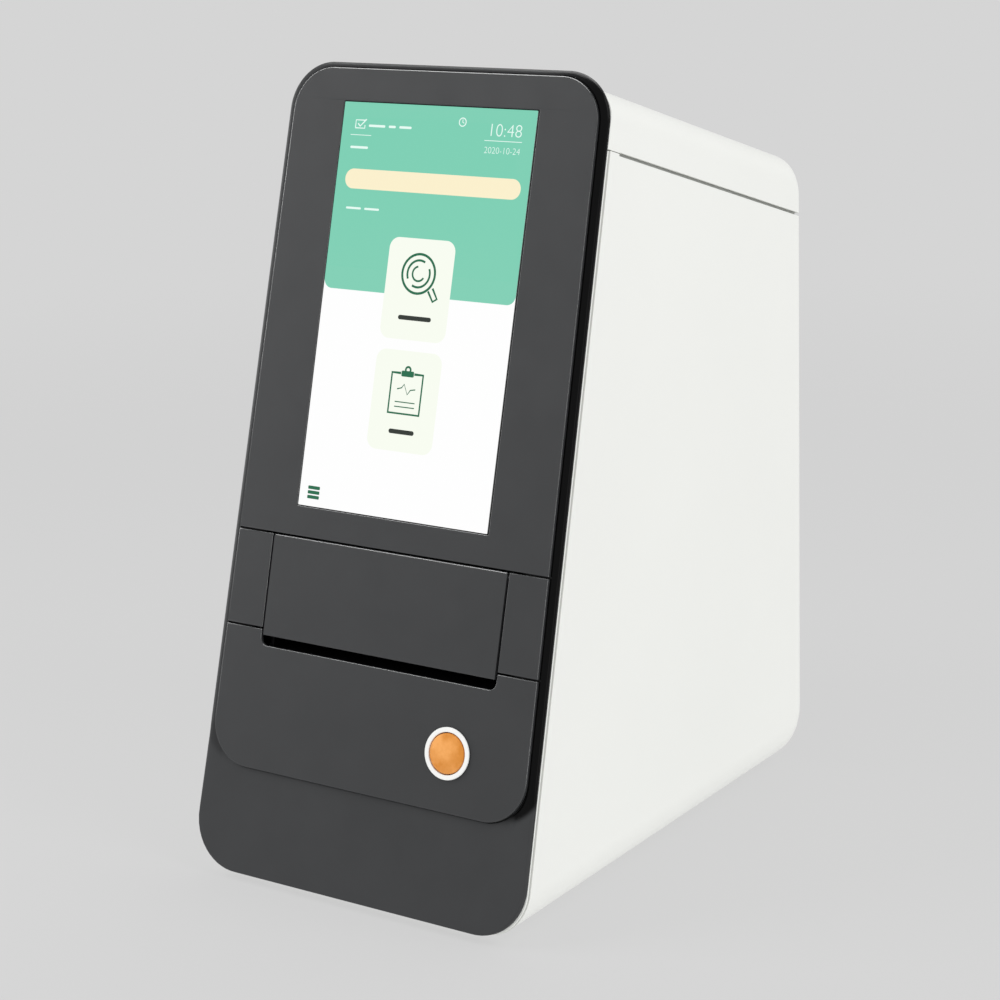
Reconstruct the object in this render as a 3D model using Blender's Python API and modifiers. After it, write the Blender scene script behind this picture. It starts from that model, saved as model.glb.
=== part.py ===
"""A benchtop biochemistry analyzer: a tall white case with a leaning dark front.

The front carries a portrait touch display, a flap door over the card bay with a finger slot under it,
and a round push button. Behind the door a toothed rack draws the card carriage under the optics.
Units are metres, +Z is up, the front faces -Y and the part stands on z = 0.
"""

from math import acos, atan2, copysign, cos, pi, radians, sin, sqrt, tan

import bmesh
import bpy
from mathutils import Matrix, Vector

# Case: its slopes, roundings and walls, and the room between it and the mechanism
side_room = 0.021
front_room = 0.0302
rear_room = 0.0393
lean_angle = radians(14.5)
top_slope_angle = radians(15.6)
side_draft_angle = radians(1.0)
base_edge_radius = 0.018
top_edge_radius = 0.011
rear_corner_radius = 0.009
rear_edge_radius = 0.003
wall = 0.0025
fit = 0.0003
foot_height = 0.0025
cover_step = 0.0053
cover_height = 0.0220
reveal_gap = 0.0009
reveal_start = 0.009
tongue_height = 0.003
tongue_share = 0.5

# White front frame: a thin lip, a groove behind it and a neck that plugs into the case
lip_thickness = 0.0017
groove_width = 0.0008
frame_fit = 0.0005
neck_wall = 0.002
neck_length = 0.007
bracket_boss_radius = 0.004
bracket_boss_length = 0.0045
bracket_boss_edge = 0.0135
bracket_boss_drop = 0.022

# Dark bezel and the plates that lie in its shallow pocket
bezel_front = 0.0014
bezel_edge_round = 0.0009
pocket_floor = 0.00085
pocket_groove = 0.0005
plate_front = 0.0029
plate_side_inset = 0.0035
plate_top_inset = 0.0023
plate_foot = 0.0417
lower_plate_height = 0.0541
door_height = 0.0370
plate_corner_radius = 0.017
plate_edge_round = 0.0004
seam_gap = 0.0005
corner_radius_bottom = 0.020
corner_radius_top = 0.0185

# Display
display_width = 0.0859
display_height = 0.1541
display_foot_margin = 0.0118
display_head_margin = 0.0148
display_glass_drop = 0.0001
display_corner_radius = 0.0006
module_border = 0.0032
module_depth = 0.0068
bracket_plate = 0.0015
bracket_side_margin = 0.0085
bracket_end_margin = 0.006
board_spacing = 0.006
board_thickness = 0.0016
board_width = 0.088
board_end_margin = 0.018
standoff_radius = 0.003
standoff_edge = 0.006
board_hole_radius = 0.0016
processor_side = 0.026
processor_height = 0.0045
memory_width = 0.012
memory_length = 0.018
memory_height = 0.0022
header_width = 0.034
header_depth = 0.006
header_height = 0.008

# Card door, its hinge and the finger slot
door_side_margin = 0.0226
door_overlap = 0.0025
door_thickness = 0.00175
hinge_depth = 0.0019
hinge_pin_radius = 0.00095
hinge_bore_clearance = 0.0002
hinge_pin_reach = 0.0035
hinge_boss_width = 0.005
hinge_boss_back = 0.0024
hinge_boss_half_height = 0.0026
door_lip_thickness = 0.0016
door_lip_depth = 0.004
door_edge_round = 0.0004
slot_height = 0.0039
slot_corner_radius = 0.003
bay_side_gap = 0.00085
bay_floor_drop = 0.0028
bay_head_gap = 0.0006

# Push button
button_side_margin = 0.0391
button_rise = 0.0218
ring_radius = 0.0097
ring_height = 0.0008
ring_edge_round = 0.0003
ring_neck_radius = 0.0089
ring_depth = 0.009
button_hole_clearance = 0.0004
cap_radius = 0.00755
cap_height = 0.0013
cap_dome = 0.0005
cap_side_gap = 0.0003
cap_skirt = 0.004
stem_radius = 0.0025
stem_reach = 0.0105
button_travel = 0.0018
switch_side = 0.012
switch_depth = 0.008
switch_bore_clearance = 0.0003
switch_bore_depth = 0.006

# Card bay behind the door
liner_wall = 0.0014
liner_side_gap = 0.0009
liner_floor_drop = 0.0001
liner_head_drop = 0.0016
liner_back_gap = 0.0008
liner_window_margin = 0.0065
liner_window_drop = 0.0020
liner_window_rise = 0.0085

# Base plate and mechanism chassis
base_plate_thickness = 0.0015
base_plate_margin = 0.0005
base_plate_front_gap = 0.020
base_plate_back_gap = 0.0019
base_plate_corner = 0.006
chassis_side_gap = 0.00075
chassis_sheet = 0.0015
chassis_front_margin = 0.008
chassis_back_margin = 0.010
chassis_flange = 0.010
chassis_bend_radius = 0.0025
shaft_hole_radius = 0.006

# Guide rods, carriage, rack and pinion
rod_radius = 0.0025
rod_x = 0.019
rod_bore_clearance = 0.0003
bracket_thickness = 0.005
bracket_room = 0.0055
rod_bracket_half_width = 0.027
rod_bracket_corner = 0.003
rod_end_reach = 0.0005
tray_half_width = 0.025
tray_length = 0.096
tray_thickness = 0.006
tray_rise = 0.0108
tray_corner = 0.004
runner_setback = 0.034
runner_half_width = 0.0245
runner_height = 0.0102
runner_bracket_gap = 0.001
rod_cover = 0.003
deck_gap = 0.0028
card_width = 0.0225
card_length = 0.072
card_recess_depth = 0.0032
card_recess_start = 0.006
card_corner = 0.002
thumb_radius = 0.009
carriage_travel = 0.060
gear_module = 0.001
pinion_teeth = 20
rack_teeth = 22
pressure_angle = radians(20)
addendum_share = 1.0
dedendum_share = 1.25
tooth_backlash = 0.0003
rack_height = 0.005
rack_web = 0.0022
pinion_height = 0.0044
pinion_setback = 0.006
hub_radius = 0.005
hub_height = 0.004
shaft_radius = 0.0025
motor_side = 0.028
motor_length = 0.030
motor_corner = 0.004
motor_end_cap = 0.007
motor_stack_inset = 0.0007
motor_pilot_radius = 0.0055
motor_pilot_height = 0.0016

# Optics
gantry_room = 0.013
gantry_depth = 0.028
gantry_half_width = 0.036
gantry_rise = 0.021
gantry_sheet = 0.003
gantry_corner = 0.004
head_half_width = 0.019
head_front_margin = 0.002
head_rise = 0.0055
head_chamfer = 0.005
lens_radius = 0.0055
lens_barrel_radius = 0.0075
lens_rise = 0.0020
lens_bore_depth = 0.004
detector_margin = 0.003
detector_can_radius = 0.0045
detector_can_height = 0.004

# Power supply, fan and rear panel
supply_flange_gap = 0.0015
supply_width = 0.054
supply_length = 0.086
supply_back_gap = 0.020
supply_height = 0.028
supply_base = 0.002
coil_side = 0.024
coil_height = 0.022
capacitor_radius = 0.008
sink_height = 0.025
sink_thickness = 0.003
panel_side_margin = 0.026
panel_rise = 0.0235
panel_height = 0.170
panel_corner = 0.006
ear_width = 0.013
ear_overlap = 0.003
ear_depth = 0.006
vent_rows = 9
vent_width = 0.052
vent_height = 0.0022
vent_pitch = 0.0046
vent_gap = 0.009
fan_grille_count = 4
fan_rise = 0.082
fan_side = 0.040
fan_depth = 0.010
fan_corner = 0.003
fan_bore = 0.0185
fan_spoke = 0.003
fan_hub_radius = 0.0095
fan_tip_radius = 0.0175
fan_blades = 7
fan_blade_thickness = 0.0010
fan_blade_depth = 0.006
fan_blade_pitch = radians(35)
fan_axle_radius = 0.002
fan_motor_depth = 0.002
fan_rim_slot = 0.0028
screw_head_radius = 0.003
screw_head_height = 0.0014
screw_socket_radius = 0.0013
screw_socket_depth = 0.0008
screw_margin = 0.0055
screw_shank_radius = 0.0014
screw_hole_clearance = 0.0003
screw_length = 0.0065

# Rear connectors
inlet_share = 0.72
port_rise = 0.020
inlet_radius = 0.0055
inlet_flange_radius = 0.0075
inlet_bore_radius = 0.0032
inlet_pin_radius = 0.001
inlet_flange = 0.001
inlet_depth = 0.012
inlet_bore_depth = 0.009
switch_share = 0.28
rocker_width = 0.013
rocker_height = 0.019
rocker_frame = 0.0022
rocker_frame_proud = 0.0012
rocker_body_depth = 0.014
rocker_radius = 0.016
rocker_proud = 0.0026
rocker_swing = radians(8)
rocker_depth = 0.006
usb_share = -0.20
usb_width = 0.0145
usb_height = 0.0070
usb_wall = 0.0007
usb_depth = 0.014
usb_tongue = 0.0018
network_share = -0.68
lan_width = 0.0160
lan_height = 0.0135
lan_wall = 0.0011
lan_depth = 0.015
lan_socket_depth = 0.012
port_proud = 0.0004

# Rubber feet
foot_radius = 0.0085
foot_top_radius = 0.0075
foot_side_margin = 0.031
foot_front_setback = 0.032
foot_rear_setback = 0.0215

# Cutters run past the faces they cut by this much
overrun = 0.004

corner_steps = 6
small_arc_steps = 2
grille_steps = 4
flank_steps = 3
fine_round_steps = 12
round_steps = 28
small_round_steps = 16
section_steps = 6

# The drive sets the chassis's width, the chassis the case's, and the carriage and its travel the depth
pitch_radius = gear_module * pinion_teeth / 2
addendum = gear_module * addendum_share
dedendum = gear_module * dedendum_share
rack_root_x = tray_half_width + fit + rack_web
rack_pitch_x = rack_root_x + dedendum
pinion_x = rack_pitch_x + pitch_radius
chassis_half_width = pinion_x + motor_side / 2 + chassis_side_gap + chassis_sheet
base_width = 2 * (chassis_half_width + side_room)
half_base = base_width / 2
body_depth = front_room + tray_length + carriage_travel + rear_room

# Heights up the leaning front
base_z = foot_height
lower_seam = plate_foot + lower_plate_height
upper_seam = lower_seam + door_height
display_foot = upper_seam + display_foot_margin
display_head = display_foot + display_height
front_height = display_head + display_head_margin
case_top = front_height - cover_step
seam_line = case_top - cover_height
door_head = upper_seam - seam_gap / 2
door_foot = lower_seam - door_overlap
slot_floor = door_foot - slot_height
bay_floor = slot_floor - bay_floor_drop
hinge_up = door_head - hinge_depth
hinge_out = plate_front - hinge_depth
button_up = plate_foot + button_rise
board_foot = display_foot + board_end_margin
board_length = display_height - 2 * board_end_margin

# Widths across the front
door_half_width = half_base - door_side_margin
bay_half_width = door_half_width + seam_gap / 2 + hinge_boss_width + bay_side_gap
liner_half_width = door_half_width - liner_side_gap
button_x = half_base - button_side_margin

# The frame is centred on the outermost faces, which are the bezel's foot and the rocker's crest
front_reach = bezel_front * cos(lean_angle) - bezel_edge_round / 2 * sin(lean_angle)
rear_reach = fit + rocker_frame_proud + rocker_proud
centre_shift = (rear_reach - front_reach) / 2
front_y = -body_depth / 2 - centre_shift
rear_y = body_depth / 2 - centre_shift

# Places along the carriage's way
tray_front = front_y + front_room
tray_back = tray_front + tray_length
runner_front = tray_front + runner_setback
runner_back = tray_back - tray_corner
front_bracket_y = runner_front - bracket_room - bracket_thickness / 2
rear_bracket_y = runner_back + carriage_travel + bracket_room + bracket_thickness / 2
liner_back = front_bracket_y - bracket_thickness / 2 - rod_end_reach - liner_back_gap
chassis_front = front_bracket_y - chassis_front_margin
chassis_back = rear_bracket_y + chassis_back_margin
pinion_y = tray_back - pinion_setback
gantry_front = pinion_y + pitch_radius + addendum + gantry_room
gantry_back = gantry_front + gantry_depth
base_plate_front = front_y + base_plate_front_gap
base_plate_back = rear_y - rear_corner_radius - base_plate_back_gap

# Heights of the mechanism behind the door
liner_low = base_z + bay_floor * cos(lean_angle) - liner_floor_drop
liner_high = base_z + door_head * cos(lean_angle) - liner_head_drop
tray_low = liner_low + tray_rise
tray_high = tray_low + tray_thickness
runner_low = tray_low - runner_height
rod_height = tray_low - rod_cover - rod_radius
rod_bracket_top = tray_low - runner_bracket_gap
chassis_deck_top = runner_low - deck_gap
deck_seat = chassis_deck_top + fit
gantry_top = tray_high + gantry_rise
head_low = tray_high + head_rise
lens_low = tray_high + lens_rise
rack_mid_z = (tray_low + tray_high) / 2

# The rear panel and what stands in it
base_plate_half_width = half_base - base_edge_radius - base_plate_margin
panel_half_width = half_base - panel_side_margin
panel_low = base_z + panel_rise
panel_high = panel_low + panel_height
fan_height_above = panel_low + fan_rise
vent_low = fan_height_above + fan_side / 2 + vent_gap
port_row = panel_low + port_rise
inlet_x = panel_half_width * inlet_share
switch_x = panel_half_width * switch_share
usb_x = panel_half_width * usb_share
lan_x = panel_half_width * network_share

turn_up = Matrix.Rotation(pi / 2, 4, "X")
along_x = Matrix.Rotation(pi / 2, 4, "Z") @ turn_up
front_frame_place = Matrix.Translation((0, front_y, base_z)) @ Matrix.Rotation(pi / 2 - lean_angle, 4, "X")
rear_place = Matrix.Translation((0, rear_y, 0)) @ Matrix.Rotation(pi, 4, "Z") @ turn_up
flat_place = Matrix.Identity(4)

for old in list(bpy.data.objects):
    bpy.data.objects.remove(old, do_unlink=True)

parts = bpy.data.collections.new("biochemistry_analyzer")
cutters = bpy.data.collections.new("cutters")
for group in (parts, cutters):
    bpy.context.scene.collection.children.link(group)


def material(name, colour, roughness, metallic=0.0):
    """A Principled material in one plain finish."""
    made = bpy.data.materials.new(name)
    made.use_nodes = True
    shader = made.node_tree.nodes["Principled BSDF"]
    shader.inputs["Base Color"].default_value = (*colour, 1)
    shader.inputs["Roughness"].default_value = roughness
    shader.inputs["Metallic"].default_value = metallic
    return made


white_case = material("white_case", (0.86, 0.87, 0.84), 0.42)
dark_front = material("dark_front", (0.07, 0.07, 0.075), 0.45)
black_plastic = material("black_plastic", (0.012, 0.012, 0.013), 0.4)
orange_cap = material("orange_cap", (0.85, 0.38, 0.07), 0.4)
white_ring = material("white_ring", (0.88, 0.88, 0.86), 0.3)
display_glass = material("display_glass", (0.75, 0.86, 0.8), 0.1)
sheet_steel = material("sheet_steel", (0.55, 0.56, 0.57), 0.35, 1.0)
bright_steel = material("bright_steel", (0.7, 0.7, 0.7), 0.2, 1.0)
circuit_green = material("circuit_green", (0.02, 0.16, 0.07), 0.5)
grey_plastic = material("grey_plastic", (0.32, 0.33, 0.34), 0.5)
acetal = material("acetal", (0.78, 0.78, 0.74), 0.35)
lens_glass = material("lens_glass", (0.35, 0.5, 0.6), 0.05)
rubber = material("rubber", (0.03, 0.03, 0.03), 0.8)


def outward(mesh):
    """Welds the mesh, drops flat faces and turns every face out."""
    work = bmesh.new()
    work.from_mesh(mesh)
    bmesh.ops.remove_doubles(work, verts=work.verts, dist=fit / 100)
    bmesh.ops.recalc_face_normals(work, faces=work.faces)
    work.to_mesh(mesh)
    work.free()


def add_object(name, mesh, finish, place):
    """Puts a mesh in the scene as a part, or as a cutter when it has no finish."""
    made = bpy.data.objects.new(name, mesh)
    made.matrix_world = place
    if finish is None:
        made.hide_render = True
        made.display_type = "WIRE"
        cutters.objects.link(made)
        return made
    mesh.materials.clear()
    mesh.materials.append(finish)
    parts.objects.link(made)
    return made


def smooth(made):
    made.data.shade_smooth()
    made.data.set_sharp_from_angle(angle=radians(35))
    return made


def add_spline(curve, corners):
    """Adds a closed outline whose corners are (x, y, radius)."""
    knots = []
    for index, (x, y, radius) in enumerate(corners):
        here = Vector((x, y, 0))
        before = Vector((*corners[index - 1][:2], 0))
        after = Vector((*corners[(index + 1) % len(corners)][:2], 0))
        if radius == 0:
            knots.append((here, None, None))
            continue
        back, on = (before - here).normalized(), (after - here).normalized()
        turn = back.angle(on)
        reach = radius / tan(turn / 2)
        pull = 4 / 3 * tan((pi - turn) / 4) * radius
        start, end = here + back * reach, here + on * reach
        knots.append((start, None, start - back * pull))
        knots.append((end, end - on * pull, None))
    spline = curve.splines.new("BEZIER")
    spline.bezier_points.add(len(knots) - 1)
    for index, (knot, (place, left, right)) in enumerate(zip(spline.bezier_points, knots)):
        before = knots[index - 1][0]
        after = knots[(index + 1) % len(knots)][0]
        knot.co = place
        knot.handle_left_type = "VECTOR" if left is None else "FREE"
        knot.handle_right_type = "VECTOR" if right is None else "FREE"
        knot.handle_left = place.lerp(before, 1 / 3) if left is None else left
        knot.handle_right = place.lerp(after, 1 / 3) if right is None else right
    spline.use_cyclic_u = True


def outline_mesh(outlines, low, high, edge_round=0.0, arc_steps=corner_steps):
    """A flat outline with its holes, thickened from low to high along its own Z."""
    curve = bpy.data.curves.new("outline", "CURVE")
    curve.dimensions = "2D"
    curve.fill_mode = "BOTH"
    curve.resolution_u = arc_steps
    curve.extrude = (high - low) / 2 - edge_round
    curve.bevel_depth = edge_round
    curve.bevel_resolution = 1
    curve.offset = -edge_round
    for corners in outlines:
        add_spline(curve, corners)
    holder = bpy.data.objects.new("outline", curve)
    bpy.context.scene.collection.objects.link(holder)
    bpy.context.view_layer.update()
    graph = bpy.context.evaluated_depsgraph_get()
    mesh = bpy.data.meshes.new_from_object(holder.evaluated_get(graph))
    bpy.data.objects.remove(holder)
    bpy.data.curves.remove(curve)
    mesh.transform(Matrix.Translation((0, 0, (high + low) / 2)))
    outward(mesh)
    return mesh


def extruded(name, finish, outlines, low, high, place=flat_place, edge_round=0.0, arc_steps=corner_steps):
    mesh = outline_mesh(outlines, low, high, edge_round, arc_steps)
    made = add_object(name, mesh, finish, place)
    made.data.name = name
    return smooth(made)


def rectangle(x_low, x_high, y_low, y_high, radius=0.0):
    return [(x_low, y_low, radius), (x_high, y_low, radius), (x_high, y_high, radius), (x_low, y_high, radius)]


def circle(x, y, radius, steps=small_round_steps):
    """A round outline as a many-sided polygon."""
    angles = [2 * pi * step / steps for step in range(steps)]
    return [(x + radius * cos(a), y + radius * sin(a), 0) for a in angles]


def block(name, finish, low, high, place=flat_place):
    """A box between two opposite corners."""
    mesh = bpy.data.meshes.new(name)
    work = bmesh.new()
    bmesh.ops.create_cube(work, size=1)
    size = [b - a for a, b in zip(low, high)]
    middle = [(a + b) / 2 for a, b in zip(low, high)]
    work.transform(Matrix.Translation(middle) @ Matrix.Diagonal((*size, 1)))
    work.to_mesh(mesh)
    work.free()
    return add_object(name, mesh, finish, place)


def turned(name, finish, profile, place=flat_place, steps=round_steps, closed=False):
    """A round piece: the profile (radius, height) runs down its outer side and is screwed about Z."""
    mesh = bpy.data.meshes.new(name)
    points = [(radius, 0, height) for radius, height in profile]
    edges = [(index, index + 1) for index in range(len(points) - 1)]
    if closed:
        edges.append((len(points) - 1, 0))
    mesh.from_pydata(points, edges, [])
    made = add_object(name, mesh, finish, place)
    screw = made.modifiers.new("turn", "SCREW")
    screw.steps = screw.render_steps = steps
    screw.use_merge_vertices = True
    screw.merge_threshold = fit / 30
    screw.use_normal_calculate = False
    screw.use_smooth_shade = True
    return made


def cylinder(name, finish, radius, low, high, place=flat_place, steps=round_steps):
    return turned(name, finish, [(0, high), (radius, high), (radius, low), (0, low)], place, steps)


def combine(made, operation, *others):
    """Adds live Boolean modifiers to a piece, one for each other object."""
    for other in others:
        change = made.modifiers.new(other.name, "BOOLEAN")
        change.operation = operation
        change.object = other
        change.solver = "EXACT"
    return made


def cut(made, *others):
    return combine(made, "DIFFERENCE", *others)


def join(made, *others):
    return combine(made, "UNION", *others)


def half_width(height):
    """Half the case's width at a height above its base, narrowing with the side draft."""
    return half_base - tan(side_draft_angle) * height


def half_width_up(up):
    return half_width(up * cos(lean_angle))


def front_point(up, out):
    """The (y, z) of a point on the leaning front, up its slope and out from its plane."""
    y = front_y + up * sin(lean_angle) - out * cos(lean_angle)
    z = base_z + up * cos(lean_angle) + out * sin(lean_angle)
    return Vector((y, z))


def crossing(point_a, along_a, point_b, along_b):
    """Where two lines of the side outline cross."""
    determinant = along_a.x * -along_b.y + along_b.x * along_a.y
    step = point_b - point_a
    share = (step.x * -along_b.y + along_b.x * step.y) / determinant
    return point_a + along_a * share


def fillet_points(before, corner, after, radius, steps):
    """The points of an arc that rounds one corner."""
    back, on = (before - corner).normalized(), (after - corner).normalized()
    turn = back.angle(on)
    centre = corner + (back + on).normalized() * (radius / sin(turn / 2))
    start = corner + back * (radius / tan(turn / 2)) - centre
    end = corner + on * (radius / tan(turn / 2)) - centre
    first = atan2(start.y, start.x)
    sweep = (atan2(end.y, end.x) - first + pi) % (2 * pi) - pi
    angles = [first + sweep * step / steps for step in range(steps + 1)]
    return [centre + Vector((cos(a), sin(a))) * radius for a in angles]


front_along = Vector((sin(lean_angle), cos(lean_angle)))
top_along = Vector((cos(top_slope_angle), -sin(top_slope_angle)))
top_down = Vector((-sin(top_slope_angle), -cos(top_slope_angle)))


def rounding_drop(radius, distance):
    """How far a rounded edge has fallen at a distance in from the side."""
    if distance >= radius:
        return 0.0
    return radius - sqrt(radius**2 - (radius - distance) ** 2)


def case_section(inset, front_out, distance):
    """The side outline of the case at one distance in from its flat side."""
    base_drop = inset + rounding_drop(base_edge_radius - inset, distance)
    top_drop = inset + rounding_drop(top_edge_radius - inset, distance)
    rear_drop = inset + rounding_drop(max(rear_edge_radius - inset, fit), distance)
    corner = rear_corner_radius - inset
    front_start = front_point(0, front_out)
    base_start = Vector((front_y, base_z + base_drop))
    rear_start = Vector((rear_y - rear_drop, base_z))
    top_start = front_point(case_top, 0) + top_down * top_drop
    level, upright = Vector((1, 0)), Vector((0, 1))
    front_foot = crossing(front_start, front_along, base_start, level)
    rear_foot = crossing(base_start, level, rear_start, upright)
    rear_head = crossing(rear_start, upright, top_start, top_along)
    front_head = crossing(top_start, top_along, front_start, front_along)
    lower_arc = fillet_points(front_foot, rear_foot, rear_head, corner, section_steps)
    upper_arc = fillet_points(rear_foot, rear_head, front_head, corner, section_steps)
    return [front_foot, *lower_arc, *upper_arc, front_head]


def case_form(name, inset, front_out, finish=None):
    """The whole case as one solid, lofted from side to side, its walls moved in by inset."""
    reach = base_edge_radius - inset
    angles = [pi / 2 * step / section_steps for step in range(section_steps + 1)]
    distances = [reach * (1 - cos(a)) for a in angles]
    stations = [(1, distance) for distance in distances]
    stations += [(-1, distance) for distance in reversed(distances)]
    work = bmesh.new()
    rings = []
    for side, distance in stations:
        ring = []
        for y, z in case_section(inset, front_out, distance):
            x = side * (half_width(z - base_z) - inset - distance)
            ring.append(work.verts.new((x, y, z)))
        rings.append(ring)
    for ring, following in zip(rings, rings[1:]):
        for index in range(len(ring)):
            onward = (index + 1) % len(ring)
            work.faces.new((ring[index], ring[onward], following[onward], following[index]))
    work.faces.new(rings[0])
    work.faces.new(rings[-1])
    bmesh.ops.recalc_face_normals(work, faces=work.faces)
    mesh = bpy.data.meshes.new(name)
    work.to_mesh(mesh)
    work.free()
    return smooth(add_object(name, mesh, finish, flat_place))


def seam_side(name, rise, above, step_rise=None):
    """A wide cutter above or below the cover's seam, raised by rise, with a step behind the front."""
    seam_start = front_point(seam_line, 0)
    lift = Vector((sin(top_slope_angle), cos(top_slope_angle)))
    far = body_depth + overrun
    near = seam_start - top_along * (seam_line * sin(lean_angle) + overrun)
    points = [near + lift * rise]
    if step_rise is not None:
        bend = seam_start + top_along * reveal_start
        points += [bend + lift * rise, bend + lift * step_rise]
        rise = step_rise
    points.append(seam_start + top_along * far + lift * rise)
    ends = front_height if above else -front_height
    outline = [(p.x, p.y, 0) for p in points]
    outline += [(points[-1].x, points[-1].y + ends, 0), (points[0].x, points[0].y + ends, 0)]
    return extruded(name, None, [outline], -base_width, base_width, along_x)


def make_main_housing():
    """Lower case shell: sides, floor and rear wall, with a tongue that stands up inside the cover."""
    behind = -(lip_thickness + groove_width)
    housing = case_form("main_housing", 0, behind, white_case)
    tongue_inset = wall * tongue_share + fit / 2
    tongue = case_form("housing_tongue_form", tongue_inset, behind - fit)
    cut(tongue, seam_side("above_tongue", tongue_height, True))
    cut(housing, seam_side("above_seam", 0, True))
    join(housing, tongue)
    cut(housing, case_form("housing_hollow", wall, overrun), rear_window())
    for index, (x, up) in enumerate(screw_places()):
        add_panel_ear(housing, index + 1, x, up)


def add_panel_ear(housing, number, x, up):
    """An ear behind one corner of the rear panel, with the blind hole its screw cuts its thread in."""
    outer = panel_half_width + ear_overlap
    ends = sorted((copysign(outer, x), copysign(outer - ear_width, x)))
    edge = sorted((copysign(outer, x), copysign(panel_half_width, x)))
    low, high = up - screw_margin, up + screw_margin
    seat = -wall - fit
    ear = block(f"panel_ear_{number}", None, (ends[0], low, seat - ear_depth), (ends[1], high, seat), rear_place)
    root = block(f"ear_root_{number}", None, (edge[0], low, seat - ear_depth), (edge[1], high, -wall / 2), rear_place)
    bore = screw_shank_radius + screw_hole_clearance
    place = rear_place @ Matrix.Translation((x, up, 0))
    hole = cylinder(f"ear_hole_{number}", None, bore, seat - screw_length, overrun, place, fine_round_steps)
    join(housing, ear, root)
    cut(housing, hole)


def rear_window():
    """The opening in the rear wall that the rear panel fills."""
    outline = rectangle(-panel_half_width, panel_half_width, panel_low, panel_high, panel_corner)
    return extruded("rear_window", None, [outline], -wall - overrun, overrun, rear_place)


def make_top_cover():
    """Sloping cover: it reaches the dark front and overlaps the housing's tongue."""
    cover = case_form("top_cover", 0, 0, white_case)
    rabbet = case_form("cover_rabbet_form", wall * tongue_share - fit / 2, overrun)
    cut(rabbet, seam_side("above_rabbet", tongue_height + fit, True))
    cut(cover, seam_side("below_cover", fit, False, reveal_gap), rabbet)
    cut(cover, case_form("cover_hollow", wall, overrun))


def front_outline(inset, foot, head, foot_radius, head_radius):
    """The rounded outline of the leaning front between two heights up its slope."""
    low, high = half_width_up(foot) - inset, half_width_up(head) - inset
    return [
        (-low, foot, foot_radius),
        (low, foot, foot_radius),
        (high, head, head_radius),
        (-high, head, head_radius),
    ]


def display_window(grow):
    side = display_width / 2 + grow
    foot, head = display_foot - grow, display_head + grow
    return rectangle(-side, side, foot, head, display_corner_radius)


def bay_window():
    return rectangle(-bay_half_width, bay_half_width, bay_floor, door_head + bay_head_gap)


def button_hole():
    return circle(button_x, button_up, ring_neck_radius + button_hole_clearance, round_steps)


def bracket_boss_places():
    """The four bosses that carry the display bracket, as (x, up)."""
    x = half_width_up(display_head) - bracket_boss_edge
    low, high = display_foot + bracket_boss_drop, display_head - bracket_boss_drop
    return [(side * x, up) for side in (-1, 1) for up in (low, high)]


def make_front_frame():
    """White frame between the dark front and the case, with the neck that plugs into the case."""
    inner = wall + frame_fit
    foot = lip_thickness * tan(lean_angle)
    seam_half = half_width_up(seam_line)
    head = case_top - inner
    head_half = half_width_up(head) - inner
    outline = [
        (-half_width_up(foot), foot, base_edge_radius),
        (half_width_up(foot), foot, base_edge_radius),
        (seam_half, seam_line - fit, 0),
        (seam_half - inner, seam_line - fit, 0),
        (head_half, head, top_edge_radius - inner),
        (-head_half, head, top_edge_radius - inner),
        (-seam_half + inner, seam_line - fit, 0),
        (-seam_half, seam_line - fit, 0),
    ]
    holes = [display_window(module_border + fit), bay_window(), button_hole()]
    frame = extruded("front_frame", white_case, [outline, *holes], -lip_thickness, 0, front_frame_place)
    neck = case_form("frame_neck_form", inner, -lip_thickness / 2)
    back = [rectangle(-base_width, base_width, -base_width, front_height + base_width)]
    depth = lip_thickness + neck_length
    behind = extruded("behind_neck", None, back, -depth - body_depth * 2, -depth, front_frame_place)
    hollow = case_form("neck_hollow", inner + neck_wall, overrun)
    cut(neck, behind, hollow)
    join(frame, neck)
    for index, (x, up) in enumerate(bracket_boss_places()):
        place = front_frame_place @ Matrix.Translation((x, up, 0))
        low = -lip_thickness - bracket_boss_length
        top = -lip_thickness / 2
        boss = cylinder(f"bracket_boss_{index + 1}", None, bracket_boss_radius, low, top, place, fine_round_steps)
        join(frame, boss)


def plate_half(up):
    return half_width_up(up) - plate_side_inset


def plate_outline(grow):
    """The outline of all the raised front plates together."""
    foot, head = plate_foot - grow, front_height - plate_top_inset + grow
    inset = plate_side_inset - grow
    return front_outline(inset, foot, head, plate_corner_radius, plate_corner_radius)


def make_front_bezel():
    """Dark bezel over the whole front, with a shallow pocket for the plates."""
    outline = front_outline(0, 0, front_height, corner_radius_bottom, corner_radius_top)
    bezel = extruded("front_bezel", dark_front, [outline], fit, bezel_front, front_frame_place, bezel_edge_round / 2)
    pocket = extruded("plate_pocket", None, [plate_outline(pocket_groove)], pocket_floor, overrun, front_frame_place)
    holes = [display_window(module_border + fit), bay_window(), button_hole()]
    openings = extruded("bezel_openings", None, holes, -overrun, overrun, front_frame_place)
    cut(bezel, pocket, openings)


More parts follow.
